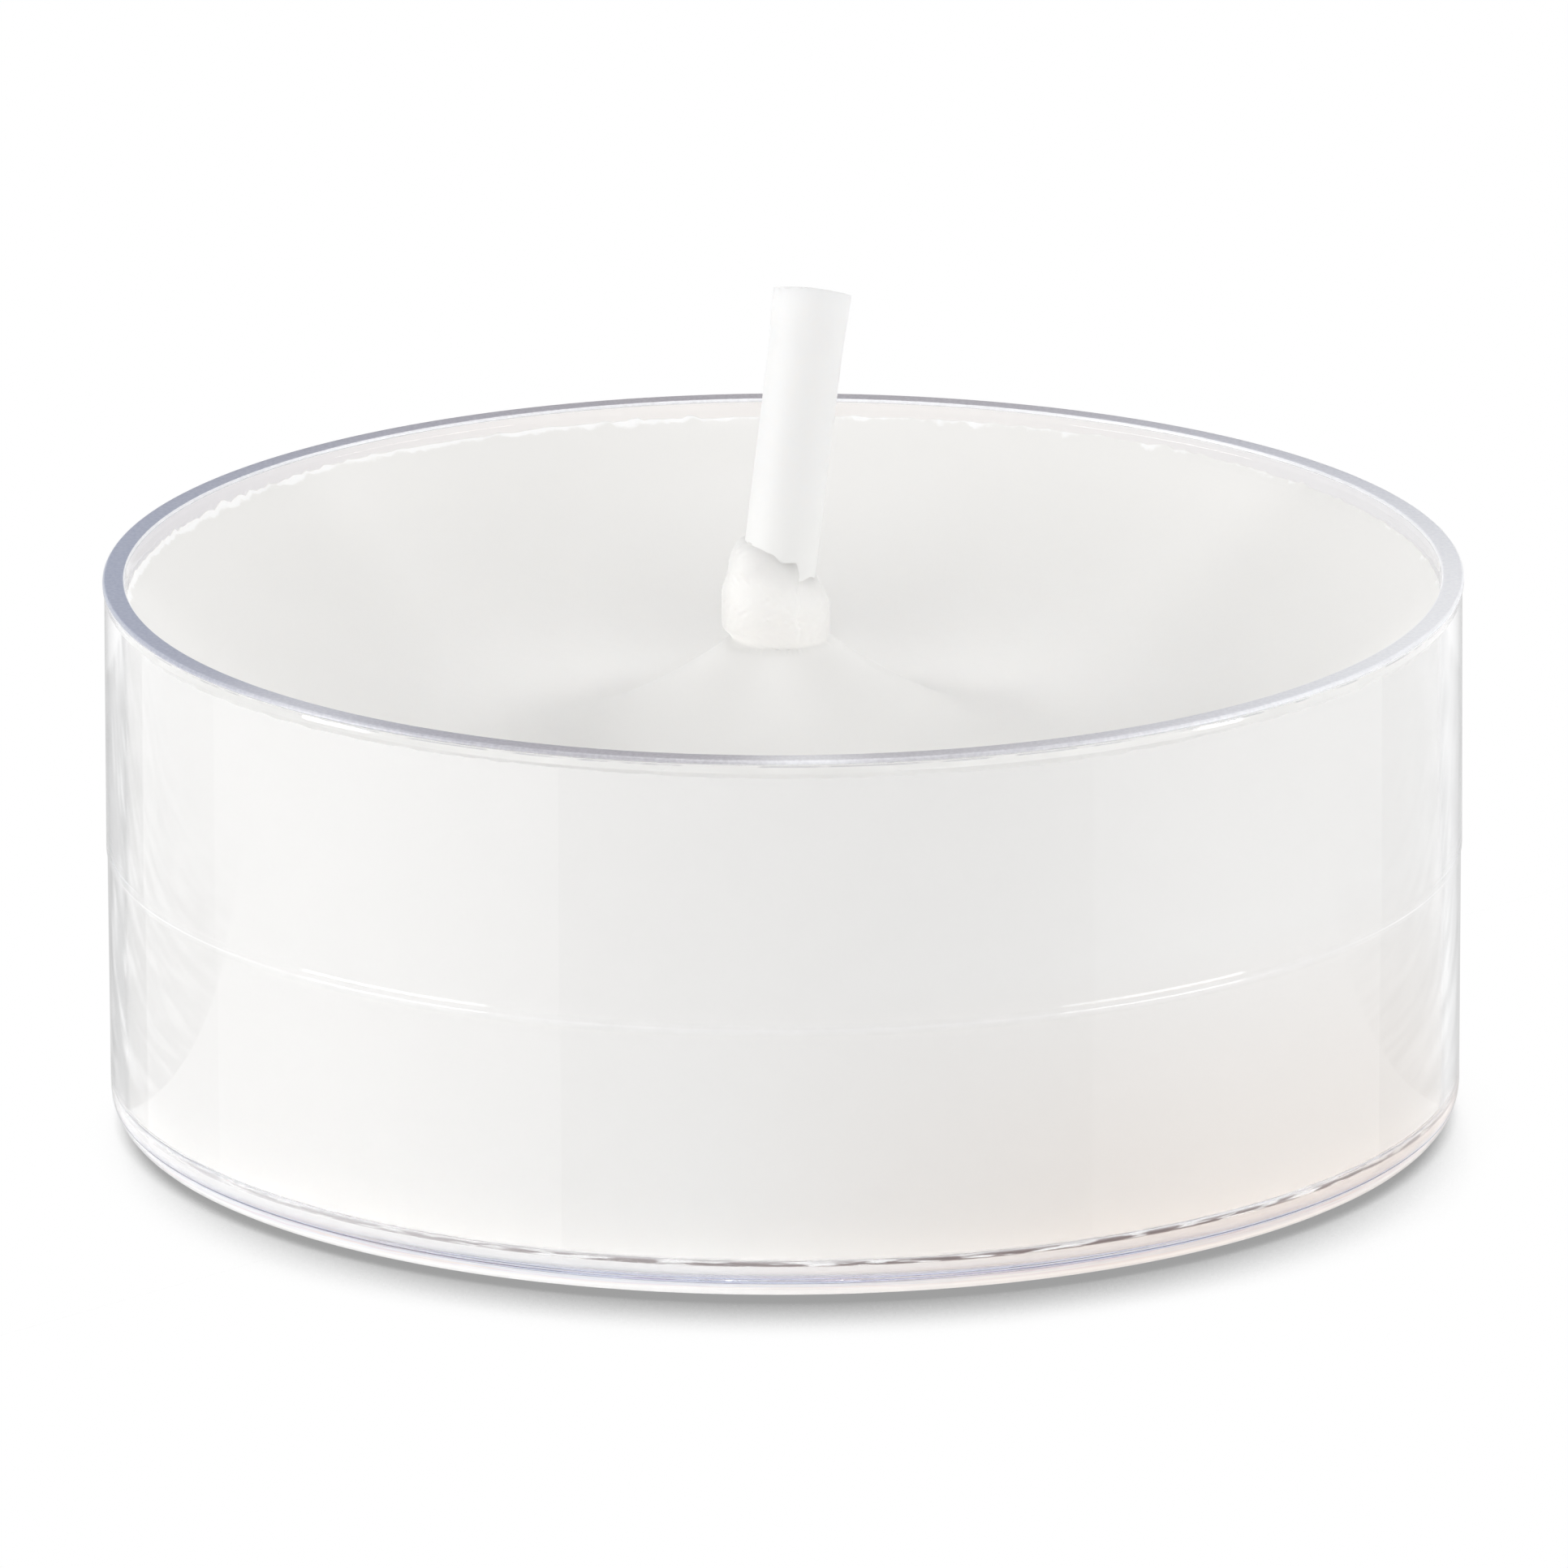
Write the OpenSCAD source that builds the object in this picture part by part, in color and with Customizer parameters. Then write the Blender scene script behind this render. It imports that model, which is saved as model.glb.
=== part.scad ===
// Tea light candle: white paraffin wax and a waxed wick in a clear moulded cup.
// Millimetres, +Z up. The origin is the middle of the cup's underside, on the surface it stands on.
// The wick leans towards +X, and -Y is the front.

/* [Cup] */
// Outside diameter across the lip
cup_d = 38; // [34:0.5:60]
// Height from the surface it stands on to the rim face
cup_h = 15.6; // [13:0.1:24]
// Thickness of the side wall
wall_t = 0.57; // [0.4:0.01:1.2]
// Thickness of the floor, over the foot ring
floor_t = 0.9; // [0.6:0.05:1.6]
// How far the lip stands proud of the wall
lip_proud = 0.05; // [0.02:0.01:0.4]
// Height of the lip
lip_h = 0.28; // [0.1:0.01:1]
// Radius of the outer bottom edge
base_edge_r = 1; // [0.5:0.05:2]
// Radius of the inner bottom edge
floor_edge_r = 0.4; // [0.1:0.05:1]

/* [Mould line] */
// Height of the mould line on the outside of the wall
mould_line_z = 7.85; // [4:0.05:11]
// Step in the outer wall at the mould line
mould_step = 0.03; // [0.01:0.01:0.2]
// How much the outer wall draws in below the mould line
draft_in = 0.05; // [0:0.01:0.3]

/* [Underside] */
// Width of the flat foot ring
foot_w = 1.6; // [0.8:0.1:4]
// Depth of the recess inside the foot ring
recess_depth = 0.25; // [0.05:0.05:0.4]
// Diameter of the dimple that holds the gate mark
gate_d = 3; // [2:0.1:6]
// Depth of that dimple
gate_depth = 0.15; // [0.05:0.01:0.15]
// Diameter of the gate mark
gate_mark_d = 1; // [0.5:0.1:1.5]
// Height of the gate mark, from the bottom of its dimple
gate_mark_h = 0.1; // [0.05:0.01:0.12]

/* [Wax] */
// Gap left by the wax as it shrank off the wall
shrink_gap = 0.05; // [0.02:0.01:0.2]
// Depth of the wax's outer edge below the rim
wax_drop = 0.63; // [0.3:0.01:2]
// Depth of the lowest ring of the dish below the rim
dish_drop = 5.5; // [3.5:0.1:7]
// Radius of the lowest ring of the dish
dish_r = 9.3; // [7:0.1:12]
// Depth of the top of the wax cone below the rim
neck_drop = 1.83; // [1:0.01:3]
// Radius of the top of the wax cone
neck_r = 1.45; // [1.35:0.01:2.2]
// Slope of the cone where it meets the neck
neck_slope = 0.83; // [0.4:0.01:1.2]
// Slope of the dish where it meets the wall
edge_slope = 0.97; // [0.5:0.01:1.5]

/* [Wax collar] */
// Height of the lump of wax that clings to the wick
collar_h = 3.2; // [1.5:0.1:4]
// Thickness of the lump on its full side
lobe_t = 0.52; // [0.3:0.01:0.9]
// Thickness of the skin on its thin side
skin_t = 0.26; // [0.15:0.01:0.5]
// How far round the wick the full side reaches
lobe_angle = 215; // [120:5:300]
// Where the full side ends, counted from +X round through +Y
lobe_end = -62; // [-90:1:0]

/* [Wick] */
// Diameter of the waxed wick
wick_d = 2.1; // [1.6:0.05:2.3]
// How much thinner its foot is all round, where the sustainer's neck squeezes it
foot_squeeze = 0.05; // [0.02:0.01:0.2]
// Distance of the foot from the middle, towards +X
wick_x = -0.41; // [-1:0.01:1]
// Depth of the wick's kink below the top of the wax cone
kink_drop = 0.4; // [0.2:0.05:1]
// Lean of the free wick towards +X
wick_lean = 6.9; // [2:0.1:12]
// Length of the free wick, from its kink to the middle of its cut end
wick_free = 10.45; // [7:0.05:15]
// Tilt of the cut end, away from the front
cut_tilt = 20; // [0:1:30]

/* [Wick sustainer] */
// Diameter of the disc
tab_d = 13; // [9:0.5:16]
// Thickness of the sheet
tab_t = 0.25; // [0.15:0.01:0.4]
// Height of the drawn neck, from the cup's floor
tab_neck_h = 3.5; // [2:0.1:5]
// Radius between the disc and the neck
tab_fillet_r = 0.5; // [0.3:0.05:1]
// Clearance round the wick and round the sustainer
fit_gap = 0.02; // [0.01:0.01:0.06]

/* [Hidden] */
$fn = 96;

// Colours, as the photograph shows them
clear_plastic = [0.86, 0.88, 0.93, 0.4];
white_wax = [0.95, 0.95, 0.93];
waxed_cotton = [0.97, 0.97, 0.96];
tinned_steel = [0.78, 0.79, 0.80];

// Cup
wall_r = cup_d / 2 - lip_proud;
inner_r = wall_r - wall_t;
low_wall_r = wall_r - mould_step;
base_r = low_wall_r - draft_in;
foot_outer_r = base_r - base_edge_r;
recess_r = foot_outer_r - foot_w;

// Wax, by height above the surface that the candle stands on
wax_r = inner_r - shrink_gap;
wax_edge_z = cup_h - wax_drop;
dish_z = cup_h - dish_drop;
neck_z = cup_h - neck_drop;
// How far the straight-looking ends of the two dish curves reach
neck_reach = 1.75;
valley_in_reach = 2.3;
valley_out_reach = 3.2;
edge_reach = 2.05;
curve_steps = 14;

// Wick
wick_r = wick_d / 2;
foot_r = wick_r - foot_squeeze;
kink_z = neck_z - kink_drop;
// How far the foot reaches up into the free wick
kink_lap = wick_r * tan(wick_lean) + foot_squeeze;

// How far a cutting tool runs past what it cuts
past = 1;

// Point at t, from 0 to 1, on the cubic curve with end points a and d and handles b and c
function curve_point(a, b, c, d, t) =
    pow(1 - t, 3) * a + 3 * pow(1 - t, 2) * t * b + 3 * (1 - t) * t * t * c + pow(t, 3) * d;

// The whole cubic curve, without its last point
function curve(a, b, c, d) =
    [for (i = [0 : curve_steps - 1]) curve_point(a, b, c, d, i / curve_steps)];

// Cup

// Right half of the cup's outer outline: lip, straight upper wall, drafted lower wall, round bottom edge
module cup_outline() {
    translate([0, cup_h - lip_h])
        square([cup_d / 2, lip_h]);
    translate([0, mould_line_z])
        square([wall_r, cup_h - mould_line_z]);
    polygon([[0, base_edge_r], [base_r, base_edge_r], [low_wall_r, mould_line_z], [0, mould_line_z]]);
    square([foot_outer_r, base_edge_r]);
    intersection() {
        translate([foot_outer_r, base_edge_r])
            circle(r = base_edge_r);
        square([base_r, base_edge_r]);
    }
}

// Right half of a straight-sided space with a round bottom edge
module round_bottomed(r, bottom, top, edge_r) {
    translate([0, bottom + edge_r])
        square([r, top - bottom - edge_r]);
    translate([0, bottom])
        square([r - edge_r, edge_r]);
    intersection() {
        translate([r - edge_r, bottom + edge_r])
            circle(r = edge_r);
        translate([0, bottom])
            square([r, edge_r]);
    }
}

// Recess inside the foot ring, with the dimple and the mark that the mould's gate leaves in its middle
module underside() {
    translate([0, 0, -past])
        cylinder(r = recess_r, h = past + recess_depth);
    difference() {
        cylinder(d = gate_d, h = recess_depth + gate_depth);
        translate([0, 0, recess_depth + gate_depth - gate_mark_h])
            cylinder(d = gate_mark_d, h = gate_mark_h + past);
    }
}

module cup() {
    color(clear_plastic)
        difference() {
            rotate_extrude()
                difference() {
                    cup_outline();
                    round_bottomed(inner_r, floor_t, cup_h + past, floor_edge_r);
                }
            underside();
        }
}

// Wick

// The wick's course, with a clearance all round it: an upright foot, a kink, and the leaning free wick
module wick_course(clearance, foot_bottom_z, free_length) {
    translate([wick_x, 0, foot_bottom_z])
        cylinder(r = foot_r + clearance, h = kink_z + kink_lap - foot_bottom_z);
    on_free_wick()
        cylinder(r = wick_r + clearance, h = free_length);
}

// Places its children at the kink, with +Z along the leaning wick
module on_free_wick() {
    translate([wick_x, 0, kink_z])
        rotate([0, wick_lean, 0])
            children();
}

// The scissor cut, tilted away from the front
module cut_end() {
    on_free_wick()
        translate([0, 0, wick_free])
            rotate([-cut_tilt, 0, 0])
                translate([-wick_d, -wick_d, 0])
                    cube([2 * wick_d, 2 * wick_d, 2 * wick_d]);
}

module wick() {
    color(waxed_cotton)
        difference() {
            wick_course(0, floor_t, wick_free + wick_d);
            cut_end();
        }
}

// Wick sustainer

tab_bore_r = foot_r + fit_gap;
tab_neck_r = tab_bore_r + tab_t;
tab_bend_r = tab_fillet_r + tab_t;
tab_bend_x = tab_neck_r + tab_fillet_r;

// Right half of the tab: flat disc, a quarter bend and the drawn neck, all of one sheet thickness
module tab_section() {
    translate([tab_bend_x, 0])
        square([tab_d / 2 - tab_bend_x, tab_t]);
    translate([tab_bore_r, tab_bend_r])
        square([tab_t, tab_neck_h - tab_bend_r]);
    intersection() {
        translate([tab_bend_x, tab_bend_r])
            difference() {
                circle(r = tab_bend_r);
                circle(r = tab_fillet_r);
            }
        translate([tab_bore_r, 0])
            square([tab_bend_r, tab_bend_r]);
    }
}

// The room that the wax leaves for the tab
module tab_room() {
    translate([wick_x, 0, floor_t - past]) {
        cylinder(r = tab_d / 2 + fit_gap, h = past + tab_t + fit_gap);
        cylinder(r = tab_neck_r + fit_gap, h = past + tab_neck_h + fit_gap);
    }
    translate([wick_x, 0, floor_t + tab_t + fit_gap])
        rotate_extrude()
            difference() {
                square([tab_bend_x, tab_fillet_r]);
                translate([tab_bend_x, tab_fillet_r])
                    circle(r = tab_fillet_r - fit_gap);
            }
}

module wick_sustainer() {
    color(tinned_steel)
        translate([wick_x, 0, floor_t])
            rotate_extrude()
                tab_section();
}

// Wax

// Top of the wax, from the neck down the cone to the lowest ring, then up to the wall
function wax_top() = concat(
    curve([neck_r, neck_z],
          [neck_r + neck_reach, neck_z - neck_reach * neck_slope],
          [dish_r - valley_in_reach, dish_z],
          [dish_r, dish_z]),
    curve([dish_r, dish_z],
          [dish_r + valley_out_reach, dish_z],
          [wax_r - edge_reach, wax_edge_z - edge_reach * edge_slope],
          [wax_r, wax_edge_z]),
    [[wax_r, wax_edge_z]]);

// Right half of the cast fill: the inside of the cup below the sunk top
module fill_section() {
    intersection() {
        round_bottomed(wax_r, floor_t, cup_h, floor_edge_r);
        polygon(concat([[0, 0], [0, neck_z]], wax_top(), [[wax_r, 0]]));
    }
}

// Right half of a lump round the wick: thickness t, full in the middle and thin at both ends
module lump_section(t, height) {
    polygon(concat(
        [[0, 0]],
        [for (i = [0 : curve_steps])
            [wick_r + fit_gap + t * pow(sin(180 * i / curve_steps), 0.5), height * i / curve_steps]],
        [[0, height]]));
}

// The wax that clings to the wick: a full lobe that ends in a torn edge, and a thin skin behind it
module collar() {
    on_free_wick() {
        rotate([0, 0, lobe_end - lobe_angle])
            rotate_extrude(angle = lobe_angle)
                lump_section(lobe_t, collar_h);
        rotate_extrude()
            lump_section(skin_t, collar_h - lobe_t);
    }
}

module wax() {
    color(white_wax)
        difference() {
            union() {
                rotate_extrude()
                    fill_section();
                collar();
            }
            tab_room();
            wick_course(fit_gap, floor_t - past, wick_free);
        }
}

cup();
wax();
wick();
wick_sustainer();
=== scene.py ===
"""The looks of a tea light: a clear moulded cup, sunk white paraffin wax and a waxed wick on its tin sustainer.

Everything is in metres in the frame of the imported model: the cup stands on z = 0 with its axis on z, the wick
leans towards +X and -Y is the front.
"""

import logging
import math
from dataclasses import dataclass
from enum import Enum
from typing import ClassVar, NamedTuple, Sequence

import bpy
import numpy as np
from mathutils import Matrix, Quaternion, Vector


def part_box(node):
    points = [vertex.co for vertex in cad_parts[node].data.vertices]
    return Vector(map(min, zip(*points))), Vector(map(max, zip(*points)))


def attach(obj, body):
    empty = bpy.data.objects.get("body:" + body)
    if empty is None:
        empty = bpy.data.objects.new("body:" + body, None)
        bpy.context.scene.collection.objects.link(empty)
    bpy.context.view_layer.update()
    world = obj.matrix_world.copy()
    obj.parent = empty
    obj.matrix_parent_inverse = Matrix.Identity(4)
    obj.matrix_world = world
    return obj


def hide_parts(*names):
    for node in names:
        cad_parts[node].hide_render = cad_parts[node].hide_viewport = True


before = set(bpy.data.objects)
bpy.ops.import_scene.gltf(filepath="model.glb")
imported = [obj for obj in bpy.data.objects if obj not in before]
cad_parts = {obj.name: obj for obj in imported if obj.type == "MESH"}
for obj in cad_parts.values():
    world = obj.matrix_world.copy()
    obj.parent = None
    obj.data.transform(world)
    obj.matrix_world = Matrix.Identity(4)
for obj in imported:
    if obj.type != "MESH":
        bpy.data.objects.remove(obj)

log = logging.getLogger("tea_light")

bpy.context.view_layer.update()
MM = 0.001
FULL_TURN = 2 * math.pi
SEED = 41


class Body(Enum):
    """The one body that every piece rides on."""

    CANDLE = "root"


class Slot(Enum):
    """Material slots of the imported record, for the pieces that stand for a node."""

    CUP = "clear_plastic"
    WAX = "paraffin_wax"
    WICK = "waxed_cotton"


# Colour and node helpers


def linear(hex_colour: str) -> tuple[float, float, float, float]:
    """Turns an sRGB hex colour such as "#F4F3EF" into linear RGBA.

    Args:
        hex_colour: Six hex digits after a hash sign.

    Returns:
        Red, green, blue and an alpha of 1.
    """
    channels = [int(hex_colour[i : i + 2], 16) / 255 for i in (1, 3, 5)]
    return (*[c / 12.92 if c <= 0.04045 else ((c + 0.055) / 1.055) ** 2.4 for c in channels], 1.0)


def add_node(tree: bpy.types.NodeTree, kind: str, inputs: dict | None = None, links: dict | None = None,
             **settings: object) -> bpy.types.Node:
    """Adds one node to a tree with its settings, socket values and links.

    Args:
        tree: Node tree that takes the node.
        kind: Type of the node without its "ShaderNode" prefix.
        inputs: Value for each input socket, by name or number.
        links: Output socket that feeds each input socket, by name or number.
        settings: Values for the node's own properties.

    Returns:
        The new node.
    """
    node = tree.nodes.new("ShaderNode" + kind)
    for name, value in settings.items():
        setattr(node, name, value)
    for socket, value in (inputs or {}).items():
        node.inputs[socket].default_value = value
    for socket, source in (links or {}).items():
        tree.links.new(source, node.inputs[socket])
    return node


def glass_ray(tree: bpy.types.NodeTree) -> bpy.types.NodeSocket:
    """Tells the rays that left a glossy or clear surface from the others.

    Args:
        tree: Node tree that takes the nodes.

    Returns:
        Socket that is 1 on glossy and transmission rays, and 0 on the rest.
    """
    path = add_node(tree, "LightPath")
    return add_node(tree, "Math", operation="MAXIMUM", links={
        0: path.outputs["Is Glossy Ray"], 1: path.outputs["Is Transmission Ray"]}).outputs[0]


def mirror_ray(tree: bpy.types.NodeTree) -> bpy.types.NodeSocket:
    """Tells the rays that a glossy surface mirrored from the others.

    Args:
        tree: Node tree that takes the nodes.

    Returns:
        Socket that is 1 on mirrored rays, and 0 on the rest.
    """
    path = add_node(tree, "LightPath")
    return add_node(tree, "Math", operation="MULTIPLY", links={
        0: path.outputs["Is Glossy Ray"], 1: path.outputs["Is Reflection Ray"]}).outputs[0]


def seen_ray(tree: bpy.types.NodeTree) -> bpy.types.NodeSocket:
    """Tells the rays that end in the picture from those that only carry light.

    Args:
        tree: Node tree that takes the nodes.

    Returns:
        Socket that is 1 on camera, glossy and transmission rays, and 0 on the rest.
    """
    path = add_node(tree, "LightPath")
    return add_node(tree, "Math", operation="MAXIMUM", links={
        0: path.outputs["Is Camera Ray"], 1: glass_ray(tree)}).outputs[0]


# Surfaces


class Corner(NamedTuple):
    """Corner of a half section, with the radius that rounds it, or 0 for a ring on a straight."""

    r: float
    z: float
    fillet: float


@dataclass
class Outline:
    """Half section of a moulded shape: points and outward unit normals in (radius, height)."""

    points: np.ndarray
    normals: np.ndarray


def rounded_outline(corners: Sequence[Corner], arc_steps: int, longest: float) -> Outline:
    """Rounds every inner corner of an open outline that has its material on the left.

    At a corner where the heading turns by an angle a, the arc of radius f starts f tan(|a| / 2) before the corner.
    Its points are centre - sign(a) f left(heading), and the normal is the heading turned a quarter to the right.

    Args:
        corners: Corners in order; the first and last stay sharp.
        arc_steps: Steps in each arc.
        longest: Longest step on a straight.

    Returns:
        The rounded outline.
    """
    places = np.array([(c.r, c.z) for c in corners])
    headings = np.diff(places, axis=0)
    headings /= np.linalg.norm(headings, axis=1, keepdims=True)
    runs = [places[:1]]
    turns = [headings[:1]]
    for before, after, corner, place in zip(headings, headings[1:], corners[1:], places[1:]):
        start_angle = math.atan2(before[1], before[0])
        turn = math.atan2(before[0] * after[1] - before[1] * after[0], before @ after)
        side = math.copysign(1.0, turn)
        start = place - before * corner.fillet * math.tan(abs(turn) / 2)
        centre = start + side * corner.fillet * np.array((-before[1], before[0]))
        angle = start_angle + turn * np.linspace(0, 1, arc_steps + 1 if corner.fillet else 1)
        along = np.column_stack((np.cos(angle), np.sin(angle)))
        arc = centre - side * corner.fillet * np.column_stack((-along[:, 1], along[:, 0]))
        runs += [straight(runs[-1][-1], arc[0], longest), arc]
        turns += [np.broadcast_to(before, runs[-2].shape), along]
    runs += [straight(runs[-1][-1], places[-1], longest), places[-1:]]
    turns += [np.broadcast_to(headings[-1], runs[-2].shape), headings[-1:]]
    heading = np.concatenate(turns)
    return Outline(np.concatenate(runs), np.column_stack((heading[:, 1], -heading[:, 0])))


def straight(start: np.ndarray, end: np.ndarray, longest: float) -> np.ndarray:
    """Gives the points between two places, both left out: start + t (end - start) with t evenly spaced.

    Args:
        start: Place before the first point.
        end: Place after the last point.
        longest: Longest step between points.

    Returns:
        Points, one row each, or none if the places lie closer than one step.
    """
    count = int(np.linalg.norm(end - start) / longest)
    t = np.linspace(0, 1, count + 2)[1:-1, None]
    return start + t * (end - start)


def around(count: int) -> np.ndarray:
    """Gives evenly spaced angles once round."""
    return np.linspace(0, FULL_TURN, count, endpoint=False)


def ring_quads(rings: int, count: int, closed: bool) -> np.ndarray:
    """Gives the four corners of each face between rings of points.

    Face (i, j) joins points j and j + 1 of ring i with the same points of ring i + 1, and both wrap round.

    Args:
        rings: Number of rings.
        count: Points in each ring.
        closed: True if the last ring joins the first.

    Returns:
        Faces as rows of four point numbers.
    """
    i, j = np.meshgrid(np.arange(rings if closed else rings - 1), np.arange(count), indexing="ij")
    following, beside = (i + 1) % rings, (j + 1) % count
    corners = (i * count + j, i * count + beside, following * count + beside, following * count + j)
    return np.stack(corners, axis=-1).reshape(-1, 4)


def fan(pole: int, first: int, count: int, outward: bool) -> np.ndarray:
    """Gives the triangles between a pole and a ring: each joins the pole with points j and j + 1 of the ring.

    Args:
        pole: Number of the pole's point.
        first: Number of the ring's first point.
        count: Points in the ring.
        outward: True if the ring's own order turns the faces outwards.

    Returns:
        Faces as rows of three point numbers.
    """
    j = np.arange(count)
    rim = (first + j, first + (j + 1) % count)
    return np.column_stack((np.full(count, pole), *(rim if outward else rim[::-1])))


def make_piece(name: str, points: np.ndarray, faces: Sequence[np.ndarray]) -> bpy.types.Object:
    """Makes a smooth-shaded object at the origin from points and faces.

    Args:
        name: Name of the piece.
        points: Points, one row each.
        faces: Blocks of faces, each a matrix of point numbers.

    Returns:
        The object, linked to the scene.
    """
    mesh = bpy.data.meshes.new(name)
    mesh.from_pydata(points.tolist(), [], [face for block in faces for face in block.tolist()])
    mesh.shade_smooth()
    mesh.update()
    piece = bpy.data.objects.new(name, mesh)
    bpy.context.scene.collection.objects.link(piece)
    return piece


def mark_points(piece: bpy.types.Object, name: str, values: np.ndarray) -> None:
    """Stores one number for each point of a piece, for its material to read."""
    piece.data.attributes.new(name, "FLOAT", "POINT").data.foreach_set("value", values.astype(np.float32).ravel())


def smooth_step(value: np.ndarray, low: float, high: float) -> np.ndarray:
    """Rises from 0 at low to 1 at high along 3 t^2 - 2 t^3."""
    t = np.clip((value - low) / (high - low), 0, 1)
    return t * t * (3 - 2 * t)


def bump_round(angle: np.ndarray, middle: float, half: float) -> np.ndarray:
    """Gives exp(-(d / half)^2), where d is the distance in degrees round the circle from the middle.

    Args:
        angle: Angles round the circle, in radians.
        middle: Middle of the bump, in degrees.
        half: Half width of the bump, in degrees.

    Returns:
        Height at each angle, 1 at the middle.
    """
    return np.exp(-(((np.degrees(angle) - middle + 180) % 360 - 180) / half) ** 2)


def ripple(angle: np.ndarray, waves: tuple[int, int], rng: np.random.Generator) -> np.ndarray:
    """Random wave round a circle, about 1 high: the sum of cosines of whole wave counts with random phases.

    Args:
        angle: Angles round the circle, in radians.
        waves: Lowest and highest wave count.
        rng: Source of the phases and heights.

    Returns:
        Height at each angle.
    """
    counts = np.arange(waves[0], waves[1] + 1)
    phases = rng.uniform(0, FULL_TURN, counts.size)
    heights = rng.normal(0, 1, counts.size) / math.sqrt(counts.size)
    return np.cos(angle[..., None] * counts + phases) @ heights


# Finishes


@dataclass(frozen=True)
class Finish:
    """What every finish shares: a name, and a material whose tree a subclass fills in."""

    name: ClassVar[str] = ""

    def material(self) -> bpy.types.Material:
        """Makes the material of this finish.

        Returns:
            The new material, named for the finish.
        """
        made = bpy.data.materials.new(self.name)
        made.use_nodes = True
        made.node_tree.nodes.clear()
        self.shade(made.node_tree)
        return made

    def shade(self, tree: bpy.types.NodeTree) -> None:
        """Fills the material's empty node tree."""
        raise NotImplementedError

    def dress(self, piece: bpy.types.Object) -> None:
        """Gives the finish to a piece, in place of whatever it had."""
        piece.data.materials.clear()
        piece.data.materials.append(self.material())


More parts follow.
